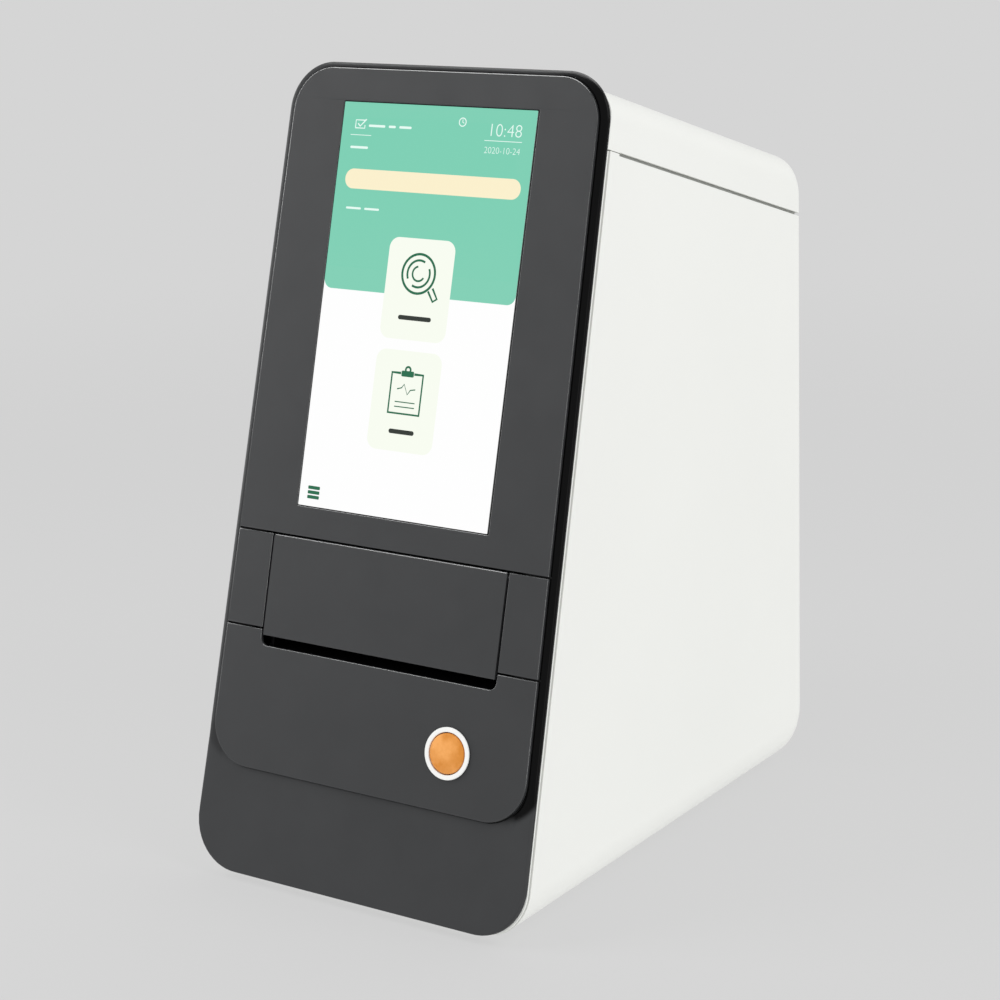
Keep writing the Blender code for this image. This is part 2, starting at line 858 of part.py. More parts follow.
def make_front_plates():
    """The display surround, the strips beside the door and the lower plate with the finger slot."""
    back, half_gap = pocket_floor + fit, seam_gap / 2
    head, low = front_height - plate_top_inset, upper_seam + half_gap
    surround = [
        (-plate_half(low), low, 0),
        (plate_half(low), low, 0),
        (plate_half(head), head, plate_corner_radius),
        (-plate_half(head), head, plate_corner_radius),
    ]
    holes = [surround, display_window(0)]
    extruded("display_surround", dark_front, holes, back, plate_front, front_frame_place, plate_edge_round / 2)
    for side, name in ((-1, "strip_left"), (1, "strip_right")):
        make_side_strip(name, side, back, half_gap)
    notch = door_half_width + half_gap
    top = lower_seam - half_gap
    lower = [
        (-plate_half(plate_foot), plate_foot, plate_corner_radius),
        (plate_half(plate_foot), plate_foot, plate_corner_radius),
        (plate_half(top), top, 0),
        (notch, top, 0),
        (notch, slot_floor, slot_corner_radius),
        (-notch, slot_floor, slot_corner_radius),
        (-notch, top, 0),
        (-plate_half(top), top, 0),
    ]
    extruded("lower_plate", dark_front, [lower, button_hole()], back, plate_front, front_frame_place, plate_edge_round / 2)


def make_side_strip(name, side, back, half_gap):
    """One strip beside the door, with the boss behind it that holds an end of the hinge pin."""
    foot, head, inner = lower_seam + half_gap, upper_seam - half_gap, door_half_width + half_gap
    corners = [(inner, foot), (plate_half(foot), foot), (plate_half(head), head), (inner, head)]
    outline = [(side * x, up, 0) for x, up in corners]
    strip = extruded(name, dark_front, [outline], back, plate_front, front_frame_place, plate_edge_round / 2)
    ends = sorted((side * inner, side * (inner + hinge_boss_width)))
    low = (ends[0], hinge_up - hinge_boss_half_height, hinge_out - hinge_boss_back)
    high = (ends[1], hinge_up + hinge_depth, back + fit)
    join(strip, block(name + "_boss", None, low, high, front_frame_place))
    reach = sorted((side * (inner - overrun), side * (inner + hinge_pin_reach + fit)))
    place = front_frame_place @ Matrix.Translation((0, hinge_up, hinge_out)) @ along_x
    bore = hinge_pin_radius + hinge_bore_clearance
    cut(strip, cylinder(name + "_bore", None, bore, *reach, place, small_round_steps))


def make_display():
    """Touch glass flush in its surround, the panel module, and the bracket and board behind it."""
    back = pocket_floor + fit
    glass_top = plate_front - display_glass_drop
    extruded("touch_glass", display_glass, [display_window(-fit / 2)], back, glass_top, front_frame_place)
    front = pocket_floor
    module = [display_window(module_border)]
    extruded("display_module", black_plastic, module, front - module_depth, front, front_frame_place)
    seat = min(front - module_depth, -lip_thickness - bracket_boss_length) - fit
    side = half_width_up(display_head) - bracket_side_margin
    foot, head = display_foot - bracket_end_margin, display_head - bracket_end_margin
    sheet = rectangle(-side, side, foot, head, plate_corner_radius / 2)
    bracket = extruded("display_bracket", sheet_steel, [sheet], seat - bracket_plate, seat, front_frame_place)
    board_back = seat - bracket_plate - board_spacing
    for index, (x, up) in enumerate(board_corner_places()):
        place = front_frame_place @ Matrix.Translation((x, up, 0))
        top = seat - bracket_plate / 2
        join(bracket, cylinder(f"standoff_{index + 1}", None, standoff_radius, board_back, top, place, fine_round_steps))
    make_main_board(board_back - fit)


def board_corner_places():
    x = board_width / 2 - standoff_edge
    low, high = board_foot + standoff_edge, board_foot + board_length - standoff_edge
    return [(side * x, up) for side in (-1, 1) for up in (low, high)]


def make_main_board(top):
    """Main board on its standoffs, with its processor, memory and cable header on the far side."""
    outline = rectangle(-board_width / 2, board_width / 2, board_foot, board_foot + board_length, standoff_radius)
    holes = [circle(x, up, board_hole_radius, fine_round_steps) for x, up in board_corner_places()]
    low = top - board_thickness
    board = extruded("main_board", circuit_green, [outline, *holes], low, top, front_frame_place)
    middle = board_foot + board_length / 2
    chips = {
        "processor": (0, middle, processor_side, processor_side, processor_height),
        "memory_left": (-memory_width * 2, middle, memory_width, memory_length, memory_height),
        "memory_right": (memory_width * 2, middle, memory_width, memory_length, memory_height),
        "cable_header": (0, board_foot + header_depth, header_width, header_depth, header_height),
    }
    for name, (x, up, width, length, height) in chips.items():
        corner = (x - width / 2, up - length / 2, low - height)
        far = (x + width / 2, up + length / 2, low + board_thickness / 2)
        join(board, block(name, None, corner, far, front_frame_place))


def make_door():
    """Flap door: its head is a barrel round the hinge pin, its foot has a lip for the fingers."""
    place = front_frame_place @ Matrix.Translation((0, hinge_up, hinge_out)) @ along_x
    face, back, foot = hinge_depth, hinge_depth - door_thickness, door_foot - hinge_up
    lip = face - door_lip_depth
    side_outline = [
        (foot, face, door_edge_round),
        (hinge_depth, face, hinge_depth * 0.98),
        (hinge_depth, -hinge_depth, hinge_depth * 0.98),
        (-hinge_depth, -hinge_depth, door_edge_round),
        (-hinge_depth * 2, back, 0),
        (foot + door_lip_thickness, back, 0),
        (foot + door_lip_thickness, lip, door_edge_round),
        (foot, lip, door_edge_round),
    ]
    bore = circle(0, 0, hinge_pin_radius + hinge_bore_clearance)
    side = door_half_width - seam_gap / 2
    extruded("card_door", dark_front, [side_outline, bore], -side, side, place)
    reach = door_half_width + seam_gap / 2 + hinge_pin_reach
    cylinder("door_hinge_pin", bright_steel, hinge_pin_radius, -reach, reach, place, small_round_steps)


def make_button():
    """Orange cap in a white ring, with its stem in the switch behind the front."""
    place = front_frame_place @ Matrix.Translation((button_x, button_up, 0))
    top = plate_front + ring_height
    inner = cap_radius + cap_side_gap
    seat = plate_front + fit
    ring = [
        (inner, top - ring_edge_round),
        (inner + ring_edge_round, top),
        (ring_radius - ring_edge_round, top),
        (ring_radius, top - ring_edge_round),
        (ring_radius, seat),
        (ring_neck_radius, seat),
        (ring_neck_radius, -ring_depth),
        (inner, -ring_depth),
    ]
    turned("button_ring", white_ring, ring, place, round_steps, True)
    crown = plate_front + cap_height
    skirt = plate_front - cap_skirt
    foot = -stem_reach
    cap = [
        (0, crown + cap_dome),
        (cap_radius / 3, crown + cap_dome * 0.9),
        (cap_radius * 2 / 3, crown + cap_dome * 0.55),
        (cap_radius * 0.94, crown),
        (cap_radius, crown - cap_dome),
        (cap_radius, skirt),
        (stem_radius, skirt),
        (stem_radius, foot),
        (0, foot),
    ]
    turned("button_cap", orange_cap, cap, place)
    front = -ring_depth - fit
    half = switch_side / 2
    body = [rectangle(-half, half, -half, half, half / 6)]
    switch = extruded("button_switch", black_plastic, body, front - switch_depth, front, place)
    bore = cylinder(
        "switch_bore", None, stem_radius + switch_bore_clearance, front - switch_bore_depth, front + overrun, place
    )
    cut(switch, bore)


def make_card_bay():
    """Liner of the card bay, open to the door and to the carriage behind it."""
    near = front_y - overrun
    low = (-liner_half_width, near, liner_low)
    high = (liner_half_width, liner_back, liner_high)
    liner = block("bay_liner", black_plastic, low, high)
    inner_low = (-liner_half_width + liner_wall, near - overrun, liner_low + liner_wall)
    inner_high = (liner_half_width - liner_wall, liner_back - liner_wall, liner_high - liner_wall)
    hollow = block("bay_hollow", None, inner_low, inner_high)
    side = tray_half_width + liner_window_margin
    window_low = (-side, liner_back - liner_wall - overrun, tray_low - liner_window_drop)
    window_high = (side, liner_back + overrun, tray_high + liner_window_rise)
    window = block("carriage_window", None, window_low, window_high)
    ahead = [rectangle(-base_width, base_width, 0, front_height)]
    seat = -lip_thickness - fit
    front = extruded("ahead_of_liner", None, ahead, seat, seat + body_depth, front_frame_place)
    cut(liner, hollow, window, front)


def make_base():
    """Steel base plate on the housing floor and the folded chassis that stands on it."""
    plate_low = base_z + wall + fit
    outline = rectangle(
        -base_plate_half_width, base_plate_half_width, base_plate_front, base_plate_back, base_plate_corner
    )
    extruded("base_plate", sheet_steel, [outline], plate_low, plate_low + base_plate_thickness)
    foot = plate_low + base_plate_thickness + fit
    outer, inner, deck = chassis_half_width, chassis_half_width - chassis_sheet, chassis_deck_top
    bend = chassis_bend_radius
    section = [
        (-outer, foot, bend),
        (-outer, deck, bend),
        (outer, deck, bend),
        (outer, foot, bend),
        (outer - chassis_flange, foot, 0),
        (outer - chassis_flange, foot + chassis_sheet, 0),
        (inner, foot + chassis_sheet, bend - chassis_sheet),
        (inner, deck - chassis_sheet, bend - chassis_sheet),
        (-inner, deck - chassis_sheet, bend - chassis_sheet),
        (-inner, foot + chassis_sheet, bend - chassis_sheet),
        (-outer + chassis_flange, foot + chassis_sheet, 0),
        (-outer + chassis_flange, foot, 0),
    ]
    chassis = extruded("mechanism_chassis", sheet_steel, [section], -chassis_back, -chassis_front, turn_up)
    place = Matrix.Translation((pinion_x, pinion_y, 0))
    low, high = chassis_deck_top - chassis_sheet - overrun, chassis_deck_top + overrun
    cut(chassis, cylinder("shaft_hole", None, shaft_hole_radius, low, high, place))


def make_guides():
    """Two ground rods in their end brackets."""
    for name, y in (("rod_bracket_front", front_bracket_y), ("rod_bracket_rear", rear_bracket_y)):
        side = rod_bracket_half_width
        outline = [
            (-side, deck_seat, 0),
            (side, deck_seat, 0),
            (side, rod_bracket_top, rod_bracket_corner),
            (-side, rod_bracket_top, rod_bracket_corner),
        ]
        holes = [circle(x, rod_height, rod_radius + fit) for x in (-rod_x, rod_x)]
        half = bracket_thickness / 2
        extruded(name, grey_plastic, [outline, *holes], -y - half, -y + half, turn_up)
    half = bracket_thickness / 2 + rod_end_reach
    for name, x in (("guide_rod_left", -rod_x), ("guide_rod_right", rod_x)):
        place = Matrix.Translation((x, 0, rod_height)) @ turn_up
        cylinder(name, bright_steel, rod_radius, -rear_bracket_y - half, -front_bracket_y + half, place, small_round_steps)


def make_carriage():
    """Card carriage: a tray with a recess for the test card, on a block that runs along the rods."""
    outline = rectangle(-tray_half_width, tray_half_width, tray_front, tray_back, tray_corner)
    carriage = extruded("card_carriage", grey_plastic, [outline], tray_low, tray_high)
    low = (-runner_half_width, runner_front, runner_low)
    high = (runner_half_width, tray_back - tray_corner, tray_low + fit)
    join(carriage, block("carriage_runner", None, low, high))
    recess_front = tray_front + card_recess_start
    recess = [rectangle(-card_width / 2, card_width / 2, recess_front, recess_front + card_length, card_corner)]
    floor = tray_high - card_recess_depth
    cut(carriage, extruded("card_recess", None, recess, floor, tray_high + overrun))
    thumb = [circle(0, tray_front, thumb_radius, round_steps)]
    cut(carriage, extruded("thumb_notch", None, thumb, tray_low - overrun, tray_high + overrun))
    for name, x in (("runner_bore_left", -rod_x), ("runner_bore_right", rod_x)):
        place = Matrix.Translation((x, 0, rod_height)) @ turn_up
        ends = (-tray_back - overrun, -runner_front + overrun)
        cut(carriage, cylinder(name, None, rod_radius + rod_bore_clearance, *ends, place, small_round_steps))


def involute(base, radius):
    """The polar angle that an involute from this base circle has turned through at a radius."""
    pressure = acos(base / radius)
    return tan(pressure) - pressure


def pinion_outline():
    """Involute teeth, thinned by the backlash, with a tooth gap facing the rack at rest."""
    base = pitch_radius * cos(pressure_angle)
    tip, root = pitch_radius + addendum, pitch_radius - dedendum
    half_tooth = pi / (2 * pinion_teeth) - tooth_backlash / (2 * pitch_radius)
    start = half_tooth + involute(base, pitch_radius)
    flank = [base + (tip - base) * step / flank_steps for step in range(flank_steps + 1)]
    points = []
    for tooth in range(pinion_teeth):
        middle = pi + 2 * pi * (tooth + 0.5) / pinion_teeth
        rising = [(radius, middle - start + involute(base, radius)) for radius in flank]
        falling = [(radius, 2 * middle - angle) for radius, angle in reversed(rising)]
        outline = [(root, rising[0][1]), *rising, *falling, (root, falling[-1][1])]
        points += [(radius * cos(angle), radius * sin(angle), 0) for radius, angle in outline]
    return points


def rack_outline():
    """Straight-flanked teeth facing +X, one of them at the pinion's centre line."""
    pitch = pi * gear_module
    first = pinion_y - carriage_travel - 2 * pitch
    first = pinion_y - pitch * round((pinion_y - first) / pitch)
    half_root = pitch / 4 - tooth_backlash / 2 + dedendum * tan(pressure_angle)
    half_tip = pitch / 4 - tooth_backlash / 2 - addendum * tan(pressure_angle)
    root_x, tip_x = rack_pitch_x - dedendum, rack_pitch_x + addendum
    back = tray_half_width + fit
    points = [(back, first - pitch / 2, 0), (root_x, first - pitch / 2, 0)]
    for tooth in range(rack_teeth):
        middle = first + tooth * pitch
        shape = [(root_x, -half_root), (tip_x, -half_tip), (tip_x, half_tip), (root_x, half_root)]
        points += [(x, middle + y, 0) for x, y in shape]
    last = first + (rack_teeth - 0.5) * pitch
    return points + [(root_x, last, 0), (back, last, 0)]


def make_drive():
    """Rack on the carriage's side, the pinion that drives it and the motor under the deck."""
    low, high = rack_mid_z - rack_height / 2, rack_mid_z + rack_height / 2
    extruded("drive_rack", acetal, [rack_outline()], low, high)
    place = Matrix.Translation((pinion_x, pinion_y, 0))
    face_low, face_high = rack_mid_z - pinion_height / 2, rack_mid_z + pinion_height / 2
    pinion = extruded("drive_pinion", acetal, [pinion_outline()], face_low, face_high, place)
    hub = cylinder("pinion_hub", None, hub_radius, face_low - hub_height, face_low + fit, place, small_round_steps)
    shaft_low = chassis_deck_top - chassis_sheet - fit
    shaft = cylinder("pinion_shaft", None, shaft_radius, shaft_low, face_high - fit, place, small_round_steps)
    join(pinion, hub, shaft)
    top = chassis_deck_top - chassis_sheet - fit
    half = motor_side / 2
    body = [rectangle(-half, half, -half, half, motor_corner)]
    motor = extruded("stepper_motor", black_plastic, body, top - motor_length, top, place)
    stack = half - motor_stack_inset
    band = [rectangle(-half - overrun, half + overrun, -half - overrun, half + overrun)]
    band.append(rectangle(-stack, stack, -stack, stack, motor_corner))
    cut(motor, extruded("motor_stack_band", None, band, top - motor_length + motor_end_cap, top - motor_end_cap, place))
    socket = shaft_radius + fit
    cut(motor, cylinder("motor_bearing", None, socket, top - motor_pilot_height, top + overrun, place, small_round_steps))


def make_optics():
    """Reading head under its gantry, with the lens below and the detector board on top."""
    foot, deck, side, sheet = deck_seat, gantry_top, gantry_half_width, gantry_sheet
    section = [
        (-side, foot, 0),
        (-side, deck, gantry_corner),
        (side, deck, gantry_corner),
        (side, foot, 0),
        (side - sheet, foot, 0),
        (side - sheet, deck - sheet, gantry_corner - sheet),
        (-side + sheet, deck - sheet, gantry_corner - sheet),
        (-side + sheet, foot, 0),
    ]
    extruded("optics_gantry", sheet_steel, [section], -gantry_back, -gantry_front, turn_up)
    head_top, half = deck - sheet - fit, head_half_width
    head_outline = [
        (-half + head_chamfer, head_low, 0),
        (half - head_chamfer, head_low, 0),
        (half, head_low + head_chamfer, 0),
        (half, head_top, 0),
        (-half, head_top, 0),
        (-half, head_low + head_chamfer, 0),
    ]
    ends = (-gantry_back + head_front_margin, -gantry_front - head_front_margin)
    head = extruded("optics_head", black_plastic, [head_outline], *ends, turn_up)
    place = Matrix.Translation((0, (gantry_front + gantry_back) / 2, 0))
    barrel = cylinder("lens_barrel", None, lens_barrel_radius, lens_low, head_low + fit, place)
    join(head, barrel)
    cut(head, cylinder("lens_seat", None, lens_radius + fit, lens_low - overrun, lens_low + lens_bore_depth, place))
    top = lens_low + lens_bore_depth - fit
    lens = [
        (0, top),
        (lens_radius, top),
        (lens_radius, lens_low + lens_bore_depth / 2),
        (lens_radius * 0.7, lens_low + lens_bore_depth / 4),
        (0, lens_low + lens_bore_depth / 8),
    ]
    turned("objective_lens", lens_glass, lens, place)
    make_detector_board(deck + fit, place)


def make_detector_board(low, place):
    front, back = gantry_front + detector_margin, gantry_back - detector_margin
    side = gantry_half_width - detector_margin
    outline = [rectangle(-side, side, front, back, standoff_radius)]
    top = low + board_thickness
    board = extruded("detector_board", circuit_green, outline, low, top)
    join(board, cylinder("detector_can", None, detector_can_radius, low + fit, top + detector_can_height, place))


def make_power_supply():
    """Open power supply on the base plate: board, coil, capacitors and a heat sink."""
    low = base_z + wall + base_plate_thickness + 2 * fit
    top = low + supply_base
    left = -chassis_half_width + chassis_flange + supply_flange_gap
    right = left + supply_width
    back = chassis_back - supply_back_gap
    front = back - supply_length
    outline = [rectangle(left, right, front, back, supply_base)]
    supply = extruded("power_supply", circuit_green, outline, low, top)
    middle = (left + right) / 2
    coil_low = (middle - coil_side / 2, front + coil_side / 2, top - fit)
    coil_high = (middle + coil_side / 2, front + coil_side * 1.5, top + coil_height)
    join(supply, block("supply_coil", None, coil_low, coil_high))
    for index, side in enumerate((-1, 1)):
        place = Matrix.Translation((middle + side * capacitor_radius * 1.5, back - capacitor_radius * 2, 0))
        name = f"supply_capacitor_{index + 1}"
        join(supply, cylinder(name, None, capacitor_radius, top - fit, low + supply_height, place, small_round_steps))
    sink_low = (left + sink_thickness, front + sink_thickness, top - fit)
    sink_high = (left + 2 * sink_thickness, back - sink_thickness, top + sink_height)
    join(supply, block("supply_sink", None, sink_low, sink_high))


def rear_cut_outs():
    """Everything that is cut through the rear panel, as outlines seen from behind."""
    outlines = []
    for row in range(vent_rows):
        low = vent_low + row * vent_pitch
        outlines.append(rectangle(-vent_width / 2, vent_width / 2, low, low + vent_height, vent_height * 0.45))
    outlines += fan_grille_outlines()
    hole = screw_shank_radius + screw_hole_clearance
    outlines += [circle(x, up, hole, fine_round_steps) for x, up in screw_places()]
    outlines.append(circle(inlet_x, port_row, inlet_radius + fit))
    side, rise = rocker_width / 2 + fit, rocker_height / 2 + fit
    outlines.append(rectangle(switch_x - side, switch_x + side, port_row - rise, port_row + rise))
    for x, width, height in ((usb_x, usb_width, usb_height), (lan_x, lan_width, lan_height)):
        side, rise = width / 2 + fit, height / 2 + fit
        outlines.append(rectangle(x - side, x + side, port_row - rise, port_row + rise))
    return outlines


def fan_grille_outlines():
    """Curved slots in front of the fan: rings split by ribs."""
    outlines = []
    for share in (0.42, 0.68, 0.94):
        outer = fan_bore * share
        inner = outer - fan_rim_slot
        for step in range(fan_grille_count):
            start = 2 * pi * step / fan_grille_count
            rib = fan_rim_slot / 2 / outer
            sweep = 2 * pi / fan_grille_count
            angles = [start + rib + (sweep - 2 * rib) * part / grille_steps for part in range(grille_steps + 1)]
            ring = [(outer, a) for a in angles] + [(inner, a) for a in reversed(angles)]
            outlines.append([(r * cos(a), fan_height_above + r * sin(a), 0) for r, a in ring])
    return outlines


def screw_places():
    """The four rear screws, seen from behind."""
    x = panel_half_width - screw_margin
    return [(side * x, up) for side in (-1, 1) for up in (panel_low + screw_margin, panel_high - screw_margin)]


def make_rear_panel():
    """Rear panel flush in its window on four ears, with vents, the fan grille and the connector holes."""
    low, high, side = panel_low + fit, panel_high - fit, panel_half_width - fit
    outline = [rectangle(-side, side, low, high, panel_corner)]
    panel = extruded("rear_panel", white_case, outline, -wall, 0, rear_place)
    cut(panel, extruded("rear_cut_outs", None, rear_cut_outs(), -wall * 3, overrun, rear_place, 0, small_arc_steps))
    top = fit + screw_head_height
    foot = top - screw_head_height - screw_length
    head = [
        (0, top - screw_socket_depth),
        (screw_socket_radius, top - screw_socket_depth),
        (screw_socket_radius, top),
        (screw_head_radius * 0.7, top),
        (screw_head_radius, top - screw_head_height / 2),
        (screw_head_radius, fit),
        (screw_shank_radius, fit),
        (screw_shank_radius, foot),
        (0, foot),
    ]
    for index, (x, up) in enumerate(screw_places()):
        place = rear_place @ Matrix.Translation((x, up, 0))
        turned(f"rear_screw_{index + 1}", bright_steel, head, place, fine_round_steps)


def make_fan():
    """Cooling fan behind the rear grille: a square frame with spokes and a bladed rotor."""
    place = rear_place @ Matrix.Translation((0, fan_height_above, 0))
    front = -wall - fit
    back = front - fan_depth
    half = fan_side / 2
    outline = rectangle(-half, half, -half, half, fan_corner)
    frame = extruded("fan_frame", black_plastic, [outline, circle(0, 0, fan_bore, round_steps)], back, front, place)
    spoke_top = back + fan_motor_depth
    for turn in (0, pi / 2):
        spin = place @ Matrix.Rotation(turn + pi / 4, 4, "Z")
        low, high = (-fan_bore - fan_corner / 2, -fan_spoke / 2, back), (fan_bore + fan_corner / 2, fan_spoke / 2, spoke_top)
        join(frame, block(f"fan_spoke_{round(turn)}", None, low, high, spin))
    disc = cylinder("fan_motor_disc", None, fan_hub_radius, back, spoke_top, place, small_round_steps)
    axle = cylinder("fan_axle", None, fan_axle_radius, back + fit, front - fan_depth / 3, place, small_round_steps)
    join(frame, disc, axle)
    make_fan_rotor(place, spoke_top + fit, front - fan_motor_depth / 2)


def make_fan_rotor(place, low, high):
    """Hub cup on the axle with pitched blades round it."""
    bore = fan_axle_radius + fit
    hub = [(bore, high), (fan_hub_radius, high), (fan_hub_radius, low), (bore, low)]
    rotor = turned("fan_rotor", black_plastic, hub, place, small_round_steps, True)
    middle = (low + high) / 2
    for index in range(fan_blades):
        turn = Matrix.Rotation(2 * pi * index / fan_blades, 4, "Z")
        tilt = Matrix.Rotation(fan_blade_pitch, 4, "X")
        seat = place @ Matrix.Translation((0, 0, middle)) @ turn @ tilt
        corner = (fan_hub_radius * 0.8, -fan_blade_depth / 2, -fan_blade_thickness / 2)
        far = (fan_tip_radius, fan_blade_depth / 2, fan_blade_thickness / 2)
        join(rotor, block(f"fan_blade_{index + 1}", None, corner, far, seat))


def make_connectors():
    """Power inlet, rocker switch, data port and network port in the rear panel."""
    place = rear_place @ Matrix.Translation((inlet_x, port_row, 0))
    mouth = fit + inlet_flange
    floor = mouth - inlet_bore_depth
    pin_top = mouth - inlet_flange
    profile = [
        (0, pin_top),
        (inlet_pin_radius, pin_top),
        (inlet_pin_radius, floor),
        (inlet_bore_radius, floor),
        (inlet_bore_radius, mouth),
        (inlet_flange_radius, mouth),
        (inlet_flange_radius, fit),
        (inlet_radius, fit),
        (inlet_radius, -inlet_depth),
        (0, -inlet_depth),
    ]
    turned("power_inlet", black_plastic, profile, place, small_round_steps)
    make_rocker_switch()
    make_port("usb_port", usb_x, usb_width, usb_height, usb_wall, usb_depth, usb_depth - usb_wall, usb_tongue)
    make_port("network_port", lan_x, lan_width, lan_height, lan_wall, lan_depth, lan_socket_depth, 0)


def make_port(name, x, width, height, port_wall, depth, socket_depth, tongue):
    """A connector shell that stands a little proud of the panel, with its socket and contact tongue."""
    place = rear_place @ Matrix.Translation((x, port_row, 0))
    side, rise = width / 2, height / 2
    port = extruded(name, bright_steel, [rectangle(-side, side, -rise, rise)], port_proud - depth, port_proud, place)
    inner_side, inner_rise = side - port_wall, rise - port_wall
    sockets = [rectangle(-inner_side, inner_side, -inner_rise, inner_rise)]
    if tongue:
        sockets.append(rectangle(-inner_side + tongue, inner_side - tongue, 0, tongue))
    cut(port, extruded(name + "_socket", None, sockets, port_proud - socket_depth, port_proud + overrun, place))


def make_rocker_switch():
    """Rocker in its snap-in frame, turning on a pivot across the frame."""
    place = rear_place @ Matrix.Translation((switch_x, port_row, 0))
    side, rise = rocker_width / 2, rocker_height / 2
    depth = rocker_body_depth
    frame = extruded("switch_frame", black_plastic, [rectangle(-side, side, -rise, rise)], -depth, fit, place)
    lip_side, lip_rise = side + rocker_frame / 2, rise + rocker_frame / 2
    lip = [rectangle(-lip_side, lip_side, -lip_rise, lip_rise, rocker_frame / 2)]
    join(frame, extruded("switch_lip", None, lip, fit, fit + rocker_frame_proud, place))
    inner_side, inner_rise = side - rocker_frame / 2, rise - rocker_frame / 2
    well = [rectangle(-inner_side, inner_side, -inner_rise, inner_rise)]
    top = fit + rocker_frame_proud
    cut(frame, extruded("switch_well", None, well, -depth * 0.75, top + overrun, place))
    make_rocker(place @ along_x, inner_side - fit, inner_rise, top)


def make_rocker(place, side, rise, top):
    """Rocker seen from the side: two flat faces meet over the pivot, on a half-round belly."""
    swing = rocker_swing
    reach = rise - rocker_frame / 2
    crest = top + rocker_proud
    drop = reach * tan(swing)
    belly = [(-reach * cos(pi * step / 8), -rocker_depth * sin(pi * step / 8), 0) for step in range(9)]
    outline = [(reach, crest - 2 * drop, 0), (0, crest - drop, 0), (-reach, crest, 0), *belly]
    extruded("power_rocker", black_plastic, [outline], -side, side, place)


def make_feet():
    """Four rubber feet under the corners, a little narrower at the top."""
    foot_x = half_base - foot_side_margin
    rows = (front_y + foot_front_setback, rear_y - foot_rear_setback)
    corners = [(side * foot_x, y) for y in rows for side in (-1, 1)]
    for index, (x, y) in enumerate(corners):
        place = Matrix.Translation((x, y, 0))
        top = foot_height - fit
        profile = [(0, top), (foot_top_radius, top), (foot_radius, top / 2), (foot_radius - top / 4, 0), (0, 0)]
        turned(f"rubber_foot_{index + 1}", rubber, profile, place)


make_main_housing()
make_top_cover()
make_front_frame()
make_front_bezel()
make_front_plates()
make_display()
make_door()
make_button()
make_card_bay()
make_base()
make_guides()
make_carriage()
make_drive()
make_optics()
make_power_supply()
make_rear_panel()
make_fan()
make_connectors()
make_feet()
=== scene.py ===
"""A benchtop biochemistry analyzer, dressed for close views, on a plain pale floor.

Each section makes one piece or one group of like pieces, in the order in which the instrument is put
together. Units are metres, +Z is up, the leaning front faces -Y, and every piece lies in the frame
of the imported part.
"""

from math import atan2, cos, pi, radians, sin, sqrt, tan

import bmesh
import bpy
from mathutils import Matrix, Vector


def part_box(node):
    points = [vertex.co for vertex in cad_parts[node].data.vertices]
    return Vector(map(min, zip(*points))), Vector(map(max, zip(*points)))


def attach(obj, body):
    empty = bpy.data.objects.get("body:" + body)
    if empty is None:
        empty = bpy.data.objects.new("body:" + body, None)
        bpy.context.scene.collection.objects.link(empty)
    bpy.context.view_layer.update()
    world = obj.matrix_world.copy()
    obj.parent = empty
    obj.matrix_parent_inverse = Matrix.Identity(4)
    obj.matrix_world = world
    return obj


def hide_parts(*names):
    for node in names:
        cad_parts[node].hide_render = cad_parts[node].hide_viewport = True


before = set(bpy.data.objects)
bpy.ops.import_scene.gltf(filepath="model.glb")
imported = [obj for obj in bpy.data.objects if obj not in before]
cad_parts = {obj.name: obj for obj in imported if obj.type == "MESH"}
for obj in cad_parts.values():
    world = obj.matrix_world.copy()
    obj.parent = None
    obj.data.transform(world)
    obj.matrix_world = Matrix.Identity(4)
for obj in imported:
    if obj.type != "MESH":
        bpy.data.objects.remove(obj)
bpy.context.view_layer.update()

# Rubber feet
# Four feet of black moulded rubber, pushed into the floor of the case under its corners.
# Each has a worn, slightly dusty rim and a shallow cup where it grips the bench.

foot_rim = 0.0009
foot_cup = 0.0005
foot_cup_share = 0.62


def shade(red, green, blue):
    """A colour given in screen values, 0 to 255, as linear light."""
    values = [v / 255 for v in (red, green, blue)]
    return tuple(v / 12.92 if v <= 0.04045 else ((v + 0.055) / 1.055) ** 2.4 for v in values)


def finish(name, colour, roughness, metallic=0.0, specular=0.5, coat=0.0):
    """A Principled material; what is the same all over stands on the shader's own sockets."""
    made = bpy.data.materials.new(name)
    made.use_nodes = True
    shader = made.node_tree.nodes["Principled BSDF"]
    shader.inputs["Base Color"].default_value = (*colour, 1)
    shader.inputs["Roughness"].default_value = roughness
    shader.inputs["Metallic"].default_value = metallic
    shader.inputs["Specular IOR Level"].default_value = specular
    shader.inputs["Coat Weight"].default_value = coat
    shader.inputs["Coat Roughness"].default_value = 0.03
    return made


def node_of(material, kind, **values):
    """Adds a node and sets its inputs by name, with underscores for spaces."""
    node = material.node_tree.nodes.new(kind)
    for name, value in values.items():
        node.inputs[name.replace("_", " ")].default_value = value
    return node


def join_sockets(material, source, target):
    material.node_tree.links.new(source, target)


def shader_input(material, name):
    return material.node_tree.nodes["Principled BSDF"].inputs[name]


def cloud(material, scale, detail=2.0, stretch=(1, 1, 1)):
    """Noise fixed to the piece's own metres, scale bumps to the metre."""
    place = material.node_tree.nodes.new("ShaderNodeTexCoord")
    sized = node_of(material, "ShaderNodeMapping", Scale=[scale * s for s in stretch])
    noise = node_of(material, "ShaderNodeTexNoise", Scale=1.0, Detail=detail, Roughness=0.55)
    join_sockets(material, place.outputs["Object"], sized.inputs["Vector"])
    join_sockets(material, sized.outputs["Vector"], noise.inputs["Vector"])
    return noise.outputs["Fac"]


